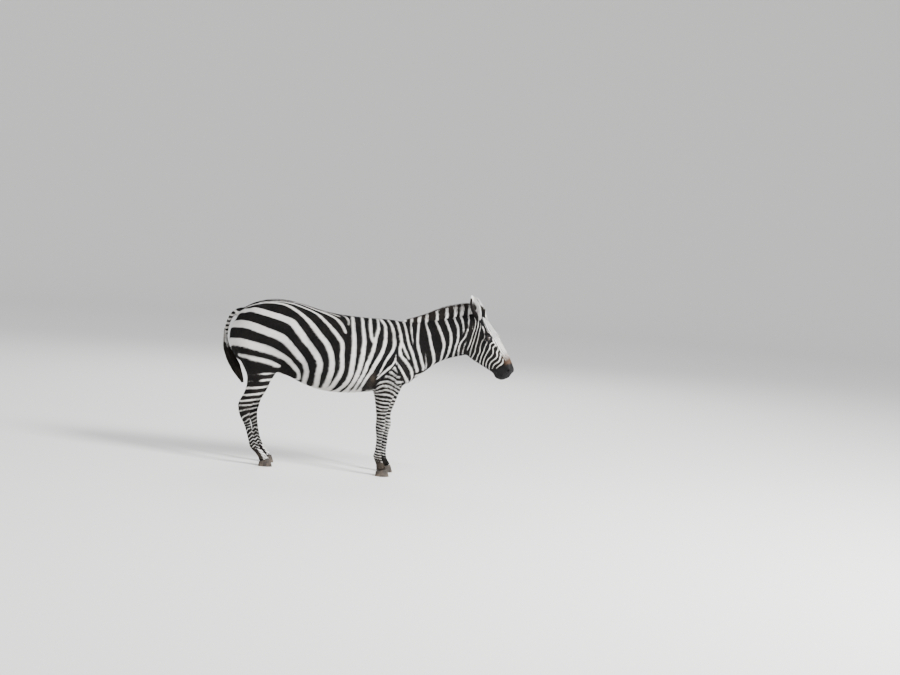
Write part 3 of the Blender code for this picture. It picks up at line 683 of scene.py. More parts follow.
# the same on the head, in its own frame and on the left side
headLines = {
    "jawOne": ([
        (-37, 44, -38), (31, 78, -49), (85, 90, -85), (137, 95, -155), (187, 76, -228), (206, 31, -291)
    ], (4.5, 4.8, 4.5)),
    "jawTwo": ([
        (10, 60, -14), (37, 75, -24), (78, 84, -49), (123, 87, -100), (177, 82, -166), (207, 54, -226)
    ], (3, 4.3, 4.5)),
    "cheekOne": ([
        (30, 65, 2), (57, 73, -6), (97, 87, -34), (137, 91, -76), (190, 81, -144), (216, 71, -178),
        (242, 28, -230)
    ], (3, 4.2, 4.5)),
    "cheekTwo": ([
        (72, 74, 6), (103, 83, -8), (152, 94, -51), (181, 92, -80), (218, 79, -128), (250, 60, -168),
        (266, 7, -237)
    ], (3, 4.3, 4.5)),
    "browShort": ([(100, 78, 10), (144, 86, 5), (172, 94, -3)], (4, 5, 3)),
    "cheekThree": ([
        (182, 95, -8), (199, 95, -22), (213, 92, -57), (239, 83, -92), (268, 71, -122), (284, 56, -158),
        (301, 34, -192), (300, 12, -217)
    ], (3, 4.4, 4.5)),
    "cheekFour": ([
        (215, 100, -24), (240, 94, -20), (251, 88, -38), (265, 83, -64), (285, 74, -92), (302, 62, -127),
        (321, 46, -158), (340, 15, -193)
    ], (3, 4.4, 4.5)),
    "noseOne": ([
        (262, 70, 26), (266, 83, -4), (290, 77, -28), (304, 73, -61), (320, 64, -97), (337, 52, -131),
        (362, 26, -169), (370, 8, -178)
    ], (4.5, 4.4, 4.5)),
    "noseTwo": ([
        (292, 62, 26), (300, 74, -2), (330, 66, -22), (346, 62, -52), (355, 55, -101), (378, 37, -141),
        (399, 12, -162)
    ], (5, 4.4, 4.5)),
    "noseThree": ([
        (325, 54, 26), (344, 60, 6), (376, 57, -20), (383, 54, -77), (395, 45, -111), (425, 16, -145)
    ], (6, 4.6, 4.5)),
    "noseFour": ([
        (360, 48, 24), (385, 50, 10), (412, 51, -20), (414, 49, -70), (430, 36, -108)
    ], (6, 6, 4.5)),
    "noseFive": ([(412, 46, 16), (440, 48, -6), (444, 50, -44), (448, 46, -70)], (6, 6, 4)),
}
# heights of the pale rings on the legs, in millimetres
legRings = {
    "fore": (
        30, 52, 75, 98, 118, 137, 158, 180, 203, 227, 252, 278, 304, 328, 352, 377, 401, 426, 452, 483,
        514, 542, 570, 600, 633, 673, 711, 748, 784, 824, 866, 910
    ),
    "hind": (
        30, 52, 75, 98, 122, 146, 170, 194, 219, 246, 276, 304, 330, 356, 388, 424, 464, 499, 537, 586,
        643, 702, 760, 820
    ),
}


def layOnSkin(line, place=None):
    # a rounded line through the points, laid on the skin; place turns it from the head's frame
    path = smoothLine(metres(line))
    path = fromHead(path) if place else path
    path = np.array([skinTree.find_nearest(Vector(p))[0] for p in path])
    return toHead(path) if place else path


# how far from a line its white can matter
lineReach = 0.06


def drawLines(points, lines, base):
    # how far inside a white line each point is, in metres, and below zero on black
    value = np.full(len(points), base)
    for path, halves in lines:
        distance, along = lineDistance(points, path, lineReach)
        start, middle, end = halves
        half = np.interp(along, (0, 0.08, 0.5, 0.9, 1), (0.8 * start, start, middle, end, 0.7 * end))
        value = np.maximum(value, half - distance)
    return value


bodyPaths = [(layOnSkin(line), metres(halves)) for line, halves in whiteLines.values()]
headPaths = [(layOnSkin(line, "head"), metres(halves)) for line, halves in headLines.values()]


def ringValue(rings, height):
    # turns rise by one from each ring's middle to the next; the second value is the distance between them
    rings = metres(rings)
    turns = np.interp(height, rings, np.arange(len(rings)))
    return turns, np.interp(height, (rings[1:] + rings[:-1]) / 2, np.diff(rings))


def neckMiddle(points):
    return -0.040 * ramp(points[:, 0], 0.25, 0.86)


def slide(points, scale, seed, reach):
    # a smooth shift along the body and up
    x, z = wobble(points, scale, seed), wobble(points, scale, seed + 1)
    return np.stack([x, np.zeros(len(points)), z], 1) * reach


def bodyMarks(points):
    # the left side is the right side mirrored and shifted a little, so that it isn't an exact copy
    middle = neckMiddle(points)
    p = points.copy()
    left = p[:, 1] > middle
    away = ramp(np.abs(p[:, 1] - middle), 0.01, 0.12)
    drift = slide(points, 1.1, 5, 0.022) + slide(points, 3.0, 7, 0.004)
    p[left, 1] = 2 * middle[left] - p[left, 1]
    p[left] += (drift * away[:, None])[left]
    # the neck is bent, so a mirrored point is moved on to the right side's skin
    bent = np.flatnonzero(left & (p[:, 0] > 0.15) & (away > 0.05))
    if len(bent):
        p[bent] = np.array([skinTree.find_nearest(Vector(q))[0] for q in p[bent]])
    value = drawLines(p, bodyPaths, -0.03)
    value += 0.0016 * wobble(points, 9.0, 9)
    # chest front: level bands that meet in a shallow V
    side = np.abs(points[:, 1])
    front = ramp(points[:, 0], 0.40, 0.44) * fade(side, 0.06, 0.11) * fade(points[:, 2], 0.86, 0.90)
    bands = np.cos((points[:, 2] + 0.45 * side) * waveTurn / 0.062 + 0.8) - 0.1
    value = value * (1 - front) + front * bands * 0.0095
    # belly: pale between the lines, with a dark line along its middle
    under = fade(points[:, 2], 0.67, 0.735)
    belly = under * ramp(0.34 - points[:, 0], 0, 0.08) * ramp(points[:, 0], -0.66, -0.55)
    value += 0.014 * belly * fade(side, 0.09, 0.15)
    value = np.where(belly > 0.4, np.minimum(value, (side - 0.012 - 0.004 * wobble(points, 4, 11))), value)
    # back: a dark line along the spine
    spine = side - 0.006 - 0.003 * wobble(points, 5, 12)
    onBack = (points[:, 2] > 1.22) & (points[:, 0] < 0.32)
    value = np.where(onBack, np.minimum(value, spine), value)
    return value


def legMarks(points, value):
    x, y, z = points.T
    far = 0.019 * (y > 0)
    # fore legs: arches above, level rings below that widen towards the white front
    front, rear = np.clip((x - 0.205) / 0.055, 0, 1.5) ** 2, np.clip((0.205 - x) / 0.065, 0, 1.5) ** 2
    rearRise = np.interp(z, (0.52, 0.60, 0.65, 0.71), (0.0, -0.009, -0.004, 0.022))
    height = z + 0.019 * front * ramp(z, 0.42, 0.55) + rear * rearRise
    height += 0.20 * (x - 0.19) * fade(z, 0.42, 0.52) + 0.003 * wobble(points, 6, 21) + far
    turns, length = ringValue(legRings["fore"], height)
    inner = fade(np.abs(y), 0.075, 0.105)
    shin = ramp(x, 0.182, 0.212) * fade(z, 0.40, 0.50)
    low = fade(z, 0.115, 0.155)
    level = -0.58 - 0.17 * fade(z, 0.50, 0.72) + 0.07 * wobble(points, 8, 22) + 0.25 * inner
    level = level + 0.70 * shin - low * (0.7 - 0.8 * shin)
    rings = (np.cos(fullTurn * turns) + level) * length / fullTurn
    limit = 0.918 - 1.15 * np.maximum(0, 0.265 - x) - 1.9 * np.maximum(0, x - 0.265)
    weight = ramp(limit - z, -0.008, 0.012) * ramp(x, 0.03, 0.06) * fade(x, 0.38, 0.42)
    weight = np.maximum(weight, fade(z, 0.68, 0.72) * ramp(x, -0.02, 0.03) * fade(x, 0.38, 0.42))
    weight = weight * ramp(np.abs(y), 0.02, 0.05)
    value = blend(value, rings, weight)
    value -= 0.012 * fade(z, 0.088, 0.108) * ramp(x, 0, 0.05)
    # hind legs: level rings on the gaskin, slanting ones under the hock, then chevrons
    heights = (0.05, 0.09, 0.13, 0.20, 0.30, 0.45, 0.60, 0.75)
    places = (-0.775, -0.800, -0.836, -0.868, -0.898, -0.908, -0.868, -0.830)
    middle = np.interp(z, heights, places) - 0.020 * (y > 0)
    slope = np.interp(z, (0.26, 0.31, 0.36, 0.42, 0.48, 0.70), (0.0, 0.45, 0.75, 0.35, 0.15, 0.15))
    chevron = 0.8 * np.minimum(np.abs(x - middle), 0.035) * fade(z, 0.26, 0.31)
    height = z - slope * (x - middle) + chevron + 0.003 * wobble(points, 5, 23) + far
    turns, length = ringValue(legRings["hind"], height)
    inner = fade(np.abs(y), 0.07, 0.105)
    toe = ramp(x - middle, 0.002, 0.016) * fade(z, 0.125, 0.155)
    patch = ramp(x, -0.86, -0.80) * ramp(z, 0.66, 0.69) * fade(z, 0.76, 0.80)
    low = fade(z, 0.125, 0.155)
    # whites narrower than blacks, more so below 0.45 to 0.55 m: partly the leg's own pattern, partly painted
    # shade
    level = -0.56 - 0.33 * fade(z, 0.45, 0.55) + 0.08 * wobble(points, 7, 24) + 0.25 * inner
    level = level + 2.2 * toe - 0.6 * low
    level -= 0.60 * ramp(z, 0.655, 0.675) * (1 - patch)
    rings = (np.cos(fullTurn * turns) + level) * np.minimum(length, 0.055) / fullTurn
    weight = fade(z, 0.765, 0.815) * fade(x, -0.68, -0.60)
    value = blend(value, rings, weight)
    groin = fade(np.abs(y), 0.05, 0.10) * fade(x, -0.66, -0.58) * fade(z, 0.80, 0.95) * ramp(z, 0.5, 0.6)
    return value + 0.02 * groin


headPlan = {"base": -0.0065, "faceLines": 4.5, "rim": 0.0320}


def headMarks(points):
    local = toHead(points)
    x, y, z = local.T
    flat = local.copy()
    flat[:, 1] = np.abs(y)
    left = (y > 0)[:, None]
    value = drawLines(flat + slide(points, 4, 31, 0.006) * left, headPaths, headPlan["base"])
    value += 0.0008 * wobble(points, 30, 33) - 0.0011
    # face: fine lines along it, which draw together towards the poll and the nose
    width = np.interp(x, (-0.02, 0.10, 0.20, 0.30, 0.42), (0.030, 0.058, 0.078, 0.056, 0.036))
    across = np.abs(y) / width + 0.03 * wobble(points, 9, 34)
    count = headPlan["faceLines"]
    lines = np.cos(fullTurn * across * count + 3.14) - 0.06 + 0.34 * ramp(x, 0.20, 0.30)
    lines = lines * width / count / fullTurn
    face = ramp(z, 0.012, 0.028) * fade(x, 0.42, 0.480)
    value = blend(value, lines, face)
    # dark rims round the eyes
    far, rim = eyeDistance(points), headPlan["rim"]
    return np.where(far < rim + 0.0010, np.minimum(value, far - rim), value)


def tailMarks(points):
    y, z = points[:, 1], points[:, 2]
    bands = np.cos(fullTurn * (z + 0.3 * np.abs(y)) / 0.036 + 1.2) - 0.25 + 0.15 * wobble(points, 12, 35)
    return bands * 0.0057


def markings(points):
    value = legMarks(points, bodyMarks(points) - 0.0028)
    onTail = tailness(points)
    value = blend(value, tailMarks(points), onTail)
    onHead = headness(points)
    some = onHead > 0
    headValue = np.zeros(len(points))
    headValue[some] = headMarks(points[some])
    return blend(value, headValue, onHead)


# where the paints start and end: along the head and up it, away from the eye, and in height above the
# floor. The grey patch behind the elbow has a middle and radii.
paintPlan = {
    "muzzle": (0.458, 0.480),
    "noseStart": (0.345, 0.450),
    "noseEnd": (0.455, 0.540),
    "noseHeight": (-0.012, 0.040),
    "lids": (0.0260, 0.0300),
    "lowDust": (0.04, 0.20),
    "lowerBrowning": (0.6, 0.9),
    "elbow": (0.075, 0, 0.80),
    "elbowReach": (0.045, 1, 0.075),
}


def paints(points):
    # dark muzzle and lids, brown patch above the nostrils, dust low on the legs, and a grey patch behind the
    # elbow
    local = toHead(points)
    x, z = local[:, 0], local[:, 2]
    onHead = headness(points)
    chin = 0.25 * np.clip(-z - 0.03, 0, 0.1)
    muzzle = ramp(x + chin - 0.005 * wobble(points, 20, 41), *paintPlan["muzzle"]) * onHead
    drift = 0.012 * wobble(points, 14, 42)
    nose = 0.85 * ramp(x + drift, *paintPlan["noseStart"]) * fade(x + drift, *paintPlan["noseEnd"])
    nose = nose * ramp(z + 0.8 * drift, *paintPlan["noseHeight"]) * onHead
    lids = fade(eyeDistance(points), *paintPlan["lids"]) * onHead
    height = points[:, 2]
    # dust low on the legs, and a little brown over everything below 0.6 to 0.9 m
    dust = fade(height, *paintPlan["lowDust"]) * 0.25 + 0.05 * fade(height, *paintPlan["lowerBrowning"])
    # a grey patch behind the elbow, above 0.6 m, in the dust's colour
    behind = (points * (1, 0, 1) - paintPlan["elbow"]) / paintPlan["elbowReach"]
    dust += 0.30 * fade(np.linalg.norm(behind, axis=1), 0.3, 1.3) * (height > 0.6)
    return {"muzzle": np.maximum(muzzle, lids), "nose": nose, "dust": dust}


def paintPiece(obj, points):
    writeValues(obj, "stripe", markings(points))
    for name, values in paints(points).items():
        writeValues(obj, name, values)


def addNode(tree, kind, **inputs):
    made = tree.nodes.new(kind)
    for key, value in inputs.items():
        made.inputs[key.replace("_", " ")].default_value = value
    return made


def maths(tree, operation, first, second):
    made = tree.nodes.new("ShaderNodeMath")
    made.operation = operation
    for socket, value in zip(made.inputs, (first, second)):
        if isinstance(value, (int, float)):
            socket.default_value = value
        else:
            tree.links.new(value, socket)
    return made.outputs[0]


def mixColours(tree, amount, first, second):
    made = tree.nodes.new("ShaderNodeMix")
    made.data_type = "RGBA"
    for socket, value in ((made.inputs[0], amount), (made.inputs[6], first), (made.inputs[7], second)):
        if isinstance(value, (int, float)):
            socket.default_value = value
        elif isinstance(value, tuple):
            socket.default_value = (*value, 1)
        else:
            tree.links.new(value, socket)
    return made.outputs[2]


def spread(tree, value, low, high, start=0.0, end=1.0):
    made = tree.nodes.new("ShaderNodeMapRange")
    made.interpolation_type = "SMOOTHSTEP"
    tree.links.new(value, made.inputs["Value"])
    for key, number in (("From Min", low), ("From Max", high), ("To Min", start), ("To Max", end)):
        made.inputs[key].default_value = number
    return made.outputs["Result"]


def attribute(tree, name):
    made = tree.nodes.new("ShaderNodeAttribute")
    made.attribute_name = name
    return made.outputs["Fac"]


def addBump(tree, shader, height, strength, distance):
    made = addNode(tree, "ShaderNodeBump", Strength=strength, Distance=distance)
    tree.links.new(height, made.inputs["Height"])
    tree.links.new(made.outputs["Normal"], shader.inputs["Normal"])


def noise(tree, vector, scale, detail=3.0):
    made = addNode(tree, "ShaderNodeTexNoise", Scale=scale, Detail=detail)
    tree.links.new(vector, made.inputs["Vector"])
    return made.outputs["Fac"]


coatTones = {
    "white": (0.93, 0.91, 0.89),
    "whiteWarm": (0.84, 0.78, 0.71),
    "black": (0.0040, 0.0036, 0.0038),
    "blackBrown": (0.0105, 0.0082, 0.0075),
    "muzzle": (0.013, 0.012, 0.013),
    "nose": (0.105, 0.060, 0.038),
    "dust": (0.25, 0.20, 0.155),
    "edge": 0.0016,
}
coatInputs = ("Stripe", "Muzzle", "Nose", "Dust", "Shade")


def coatGroup():
    # colours of the coat, from how far inside a white stripe a place is
    tree = bpy.data.node_groups.new("stripedCoat", "ShaderNodeTree")
    for name in coatInputs:
        tree.interface.new_socket(name, in_out="INPUT", socket_type="NodeSocketFloat")
    tree.interface.new_socket("Vector", in_out="INPUT", socket_type="NodeSocketVector")
    for name, kind in (("Color", "Color"), ("White", "Float"), ("Hair", "Float")):
        tree.interface.new_socket(name, in_out="OUTPUT", socket_type="NodeSocket" + kind)
    enter, leave = tree.nodes.new("NodeGroupInput"), tree.nodes.new("NodeGroupOutput")
    vector = enter.outputs["Vector"]
    ragged = maths(tree, "MULTIPLY", maths(tree, "SUBTRACT", noise(tree, vector, 140, 4), 0.5), 0.006)
    edge = maths(tree, "ADD", enter.outputs["Stripe"], ragged)
    white = spread(tree, edge, -coatTones["edge"], coatTones["edge"])
    patchy = spread(tree, noise(tree, vector, 5, 4), 0.42, 0.68)
    fine = noise(tree, vector, 420, 2)
    warm = maths(tree, "MULTIPLY", patchy, 0.45)
    pale = mixColours(tree, warm, coatTones["white"], coatTones["whiteWarm"])
    brown = spread(tree, noise(tree, vector, 11, 3), 0.35, 0.75)
    deep = mixColours(tree, brown, coatTones["black"], coatTones["blackBrown"])
    colour = mixColours(tree, white, deep, pale)
    clouds = spread(tree, noise(tree, vector, 7, 5), 0.35, 0.75)
    dusty = maths(tree, "MULTIPLY", enter.outputs["Dust"], clouds)
    colour = mixColours(tree, dusty, colour, coatTones["dust"])
    for name in ("Nose", "Muzzle"):
        colour = mixColours(tree, enter.outputs[name], colour, coatTones[name.lower()])
    # the Shade input sets brightness: a random tone per strand, plus painted shade at strand roots and on the
    # skin
    lit = maths(tree, "ADD", maths(tree, "MULTIPLY", enter.outputs["Shade"], 0.28), 0.80)
    grained = maths(tree, "ADD", maths(tree, "MULTIPLY", fine, 0.3), 0.85)
    light = maths(tree, "MULTIPLY", lit, grained)
    shaded = tree.nodes.new("ShaderNodeVectorMath")
    shaded.operation = "SCALE"
    tree.links.new(colour, shaded.inputs[0])
    tree.links.new(light, shaded.inputs["Scale"])
    tree.links.new(shaded.outputs[0], leave.inputs["Color"])
    tree.links.new(white, leave.inputs["White"])
    tree.links.new(fine, leave.inputs["Hair"])
    return tree


stripedCoat = coatGroup()


def coatMaterial(name, bump):
    made, tree, shader = newMaterial(name)
    group = tree.nodes.new("ShaderNodeGroup")
    group.node_tree = stripedCoat
    place = tree.nodes.new("ShaderNodeTexCoord")
    tree.links.new(place.outputs["Object"], group.inputs["Vector"])
    for socket in coatInputs:
        tree.links.new(attribute(tree, socket.lower()), group.inputs[socket])
    tree.links.new(group.outputs["Color"], shader.inputs["Base Color"])
    shader.inputs["Roughness"].default_value = 0.60
    shader.inputs["Specular IOR Level"].default_value = 0.12
    shader.inputs["Sheen Weight"].default_value = 0.01
    shader.inputs["Sheen Roughness"].default_value = 0.45
    if bump:
        addBump(tree, shader, group.outputs["Hair"], 0.5, bump)
    return made


coatFinish = coatMaterial("shortCoat", 0)
skinFinish = coatMaterial("skinUnderCoat", 0.0012)


# how much of its width a strand loses towards its tip, how much of its shade is its own (the rest is painted
# shade, darker towards the root), and how far its patch of the bake map reaches
strandPlan = {"taper": 0.55, "own": 0.65, "patch": 0.0015}


def strandMesh(name, paths, normals, widths, flat, marks, shade, patch):
    # strands are closed three-sided spikes, many in one mesh. paths: strands x steps x 3; the last
    # step is the tip, the others are three-sided rings.
    count, steps = paths.shape[:2]
    rings = steps - 1
    along = np.gradient(paths, axis=1) if steps > 2 else np.repeat(paths[:, 1:] - paths[:, :1], 2, axis=1)
    along = unit(along)
    side = unit(np.cross(normals[:, None], along))
    above = np.cross(along, side)
    t = np.arange(rings) / rings
    half = widths[:, None, None] / 2 * (1 - strandPlan["taper"] * t**1.5)[None, :, None]
    centre = paths[:, :rings]
    side, above = side[:, :rings] * half, above[:, :rings] * half * flat * 2
    corners = np.stack([centre + side, centre + above, centre - side], axis=2).reshape(count, rings * 3, 3)
    points = np.concatenate([corners, paths[:, -1:]], axis=1)
    each = rings * 3 + 1
    faces = [(0, 2, 1)]
    for ring in range(rings - 1):
        for a, b in ((0, 1), (1, 2), (2, 0)):
            low, high = ring * 3, ring * 3 + 3
            faces += [(low + a, low + b, high + b), (low + a, high + b, high + a)]
    last = (rings - 1) * 3
    faces += [(last, last + 1, each - 1), (last + 1, last + 2, each - 1), (last + 2, last, each - 1)]
    faces = np.array(faces)
    whole = (faces[None] + np.arange(count)[:, None, None] * each).reshape(-1, 3)
    made = meshPiece(name, points.reshape(-1, 3), whole)
    for key, values in marks.items():
        values = np.asarray(values)
        writeValues(made, key, values.ravel() if values.ndim == 2 else np.repeat(values, each))
    # shade: a random tone per strand, plus painted shade that darkens it towards the root
    rise = np.append(np.repeat(t, 3), 1.0)
    own = strandPlan["own"]
    writeValues(made, "shade", (shade[:, None] * own + (1 - own) * rise[None]).ravel())
    # each strand's own small patch of the bake map, at its root's place
    across = np.append(np.tile((-1.0, 0.0, 1.0), rings), 0) * np.append(1 - np.repeat(t, 3) * 0.6, 0)
    spot = np.stack([across, 2 * rise - 1], 1)
    spot[1::3, 1] += 0.25
    patches = np.clip(patch, 0.003, 0.997)[:, None] + strandPlan["patch"] * spot[None]
    layer = made.data.uv_layers.new(name="OFBake")
    layer.data.foreach_set("uv", patches.reshape(-1, 2)[whole.ravel()].astype(np.float32).ravel())
    return made


def scatter(obj, count, weight, seed):
    # evenly spread places on a surface: points, normals; weight takes the faces' middles
    obj.data.calc_loop_triangles()
    corners = readAll(obj.data.loop_triangles, "vertices", 3, np.int32)
    p, n = readPoints(obj), readPoints(obj, "normal")
    a, b, c = (p[corners[:, i]] for i in range(3))
    area = np.linalg.norm(np.cross(b - a, c - a), axis=1) / 2 * weight((a + b + c) / 3)
    wanted = np.concatenate([[0], np.cumsum(area)]) * count / area.sum()
    rng = np.random.default_rng(seed)
    pick = np.repeat(np.arange(len(corners)), np.diff(np.floor(wanted)).astype(int))
    u, v = rng.random((2, len(pick), 1))
    over = u + v > 1
    u, v = np.where(over, 1 - u, u), np.where(over, 1 - v, v)
    w = 1 - u - v
    na, nb, nc = (n[corners[pick, i]] for i in range(3))
    return a[pick] * w + b[pick] * u + c[pick] * v, unit(na * w + nb * u + nc * v)


def coatLie(points, normals):
    # which way the hair lies: back and down over the body, down the legs, down the face
    x, z = points[:, 0], points[:, 2]
    fore, hind = legness(points)
    onNeck, onHead, onTail = neckness(points), headness(points), tailness(points)
    lie = np.tile((-1.0, 0.0, -0.22), (len(points), 1))
    steep = np.maximum(ramp(x, 0.00, 0.20), fade(x, -0.80, -0.55)) * fade(z, 0.9, 1.2)
    lie += steep[:, None] * np.array((0.45, 0, -0.85))
    for weight, way in (
        (onNeck, (-0.72, 0, -0.70)),
        (fore, (-0.12, 0, -1)),
        (hind, (-0.10, 0, -1)),
        (onTail, (-0.15, 0, -1)),
    ):
        lie = blend(lie, np.array(way), weight[:, None])
    local = toHead(points)
    cheek = fade(local[:, 2], -0.02, 0.035) * fade(local[:, 0], 0.25, 0.42)
    sideways = 0.25 * np.sign(local[:, 1]) * (1 - cheek)
    headLie = np.stack([0.9 - 0.75 * cheek, sideways, -0.12 - 0.9 * cheek], 1)
    lie = blend(lie, headLie @ headAxes.T, onHead[:, None])
    lie += 0.10 * np.stack([wobble(points, 6, 51), wobble(points, 6, 52), wobble(points, 6, 53)], 1)
    return unit(lie - normals * (lie * normals).sum(1, keepdims=True))


def roundUnwrap(points, middle, axis, low, high, columns=1, column=0):
    # a place on an unwrap round an axis: angle round it across, and distance along it up
    axis = unit(np.array(axis, float))
    q = points - np.array(middle)
    first = unit(np.cross(axis, (0, 0, 1)) if abs(axis[2]) < 0.9 else np.cross(axis, (0, 1, 0)))
    angle = np.arctan2(q @ first, q @ np.cross(axis, first)) / 6.2832 + 0.5
    return np.stack([(angle + column) / columns, (q @ axis - low) / (high - low)], 1)


# how thick a tuft is beside its width
tuftFlatness = 0.32
# tufts of the short coat: how many, and a typical tuft's length and width
coatPlan = {
    "coatTrunkRight": {"tufts": 47000, "length": 0.017, "width": 0.0032, "seed": 101},
    "coatTrunkLeft": {"tufts": 47000, "length": 0.017, "width": 0.0032, "seed": 102},
    "coatNeck": {"tufts": 42000, "length": 0.013, "width": 0.0026, "seed": 103},
    "coatHead": {"tufts": 48000, "length": 0.0062, "width": 0.0015, "seed": 104},
    "coatForeLegs": {"tufts": 46000, "length": 0.0085, "width": 0.0020, "seed": 105},
    "coatHindLegs": {"tufts": 47000, "length": 0.0085, "width": 0.0020, "seed": 106},
    "coatTail": {"tufts": 6000, "length": 0.011, "width": 0.0020, "seed": 107},
}


def regionOf(name, points):
    fore, hind = legness(points)
    onHead, onNeck, onTail = headness(points) > 0.5, neckness(points) > 0.5, tailness(points) > 0.5
    legs = ((fore > 0.5) | (hind > 0.5)) & ~onHead & ~onNeck & ~onTail
    rest = ~(onHead | onNeck | onTail | legs)
    return {
        "coatTrunkRight": rest & (points[:, 1] <= 0),
        "coatTrunkLeft": rest & (points[:, 1] > 0),
        "coatNeck": onNeck,
        "coatHead": onHead,
        "coatForeLegs": legs & (points[:, 0] > -0.3),
        "coatHindLegs": legs & (points[:, 0] <= -0.3),
        "coatTail": onTail,
    }[name]


def coatPatch(name, points):
    left = points[:, 1] > 0
    if name.startswith("coatTrunk"):
        return roundUnwrap(points, (0, 0, 1.0), (1, 0, 0), -1.15, 0.45)
    if name == "coatNeck":
        return roundUnwrap(points, (0.55, -0.02, 1.10), (0.85, 0, 0.52), -0.45, 0.50)
    if name == "coatHead":
        return roundUnwrap(toHead(points), (0.2, 0, -0.08), (1, 0, 0), -0.30, 0.38)
    if name == "coatTail":
        return roundUnwrap(points, (-1.16, 0, 1.1), (0, 0, 1), -0.15, 0.20)
    middle = 0.165 if name == "coatForeLegs" else -0.90
    one = roundUnwrap(points, (middle, -0.12, 0.4), (0, 0, 1), -0.40, 0.50, 2, 0)
    two = roundUnwrap(points, (middle, 0.12, 0.4), (0, 0, 1), -0.40, 0.50, 2, 1)
    return np.where(left[:, None], two, one)


def coatWeight(name, points):
    weight = regionOf(name, points).astype(float)
    if name == "coatHead":
        local = toHead(points)
        weight *= 1 + 1.2 * ramp(local[:, 0], 0.36, 0.46)
        weight *= eyeDistance(points) > eyePlan["radius"] + 0.0012
        for side in (1, -1):
            far = np.linalg.norm(local - np.array(nostrilPlan["place"]) * (1, side, 1), axis=1)
            weight *= far > 0.012
    if "Legs" in name:
        weight *= 1 + 0.8 * fade(points[:, 2], 0.35, 0.55)
        weight *= points[:, 2] > 0.045
    return weight


def addCoat(name):
    plan = coatPlan[name]
    points, normals = scatter(skin, plan["tufts"], lambda p: coatWeight(name, p), plan["seed"])
    rng = np.random.default_rng(plan["seed"] + 50)
    count = len(points)
    lie = coatLie(points, normals)
    side = np.cross(normals, lie)
    lie = unit(lie + side * rng.normal(0, 0.13, (count, 1)))
    length = plan["length"] * rng.uniform(0.7, 1.25, count)
    if name == "coatHead":
        local = toHead(points)
        length *= 1 - 0.5 * ramp(local[:, 0], 0.40, 0.47)
        length *= 1 - 0.45 * fade(eyeDistance(points), 0.025, 0.045)
        length *= 1 + 0.9 * fade(local[:, 2], -0.20, -0.13)
    if "Legs" in name:
        length *= 1 - 0.30 * fade(points[:, 2], 0.20, 0.40) + 0.9 * fade(points[:, 2], 0.07, 0.11)
    if "Trunk" in name:
        length *= 1 + 0.35 * fade(points[:, 2], 0.66, 0.72)
    rise = rng.uniform(0.06, 0.20, count)
    tips = points + lie * length[:, None] + normals * (rise * length)[:, None]
    roots = points - normals * 0.0006 - lie * 0.001
    widths = plan["width"] * rng.uniform(0.75, 1.3, count)
    marks = {"stripe": markings(points), **paints(points)}
    paths, patch = np.stack([roots, tips], 1), coatPatch(name, points)
    piece = strandMesh(name, paths, normals, widths, tuftFlatness, marks, rng.random(count), patch)
    finishPiece(piece, coatFinish, "coat")


for coatName in coatPlan:
    addCoat(coatName)
    print("coat:", coatName)


# ears: how far each stands out, leans back and turns, in degrees, and where it is rooted
earPlan = {
    "right": {"side": -1, "out": 8, "back": 73, "turn": 32},
    "left": {"side": 1, "out": 4, "back": 82, "turn": 40},
    "root": (0.024, 0.056, 0.0),
    "voxel": 0.0022,
    "tufts": 11000,
    "furWidth": (0.0012, 0.0020),
}


def earMatrix(plan):
    side = plan["side"]
    x, y, z = earPlan["root"]
    lean = Euler((math.radians(-side * plan["out"]), math.radians(-plan["back"]), 0)).to_matrix().to_4x4()
    turn = Matrix.Rotation(math.radians(side * plan["turn"]), 4, "Z")
    return headMatrix @ Matrix.Translation((x, side * y, z)) @ lean @ turn


def earMarks(local, normals, side):
    # white inside and at the tip, dark over the back and along the outer edge, painted shade low in the
    # hollow
    x, y, z = local.T
    outer = y * side
    middle = np.interp(z, (0, 0.05, 0.12, 0.19), (0.014, 0.015, 0.013, 0.004))
    dark = outer - middle + 0.003 * wobble(local, 30, 61)
    behind = (-0.004 - x) * 1.2
    dark = np.maximum(dark, behind)
    tip = 0.166 - z + 0.004 * wobble(local, 40, 62)
    dark = np.minimum(dark, tip)
    # painted shade in the ear's hollow: the lower inner face is tinted towards the muzzle's dark and the
    # nose's brown
    inside = fade(np.abs(outer), 0.010, 0.024) * ramp(x, 0.000, 0.004)
    inside = inside * fade(z, 0.06, 0.13) * ramp(normals[:, 0], 0.1, 0.4)
    return {"stripe": -dark, "muzzle": 0.30 * inside, "nose": 0.15 * inside, "dust": np.full(len(x), 0.05)}


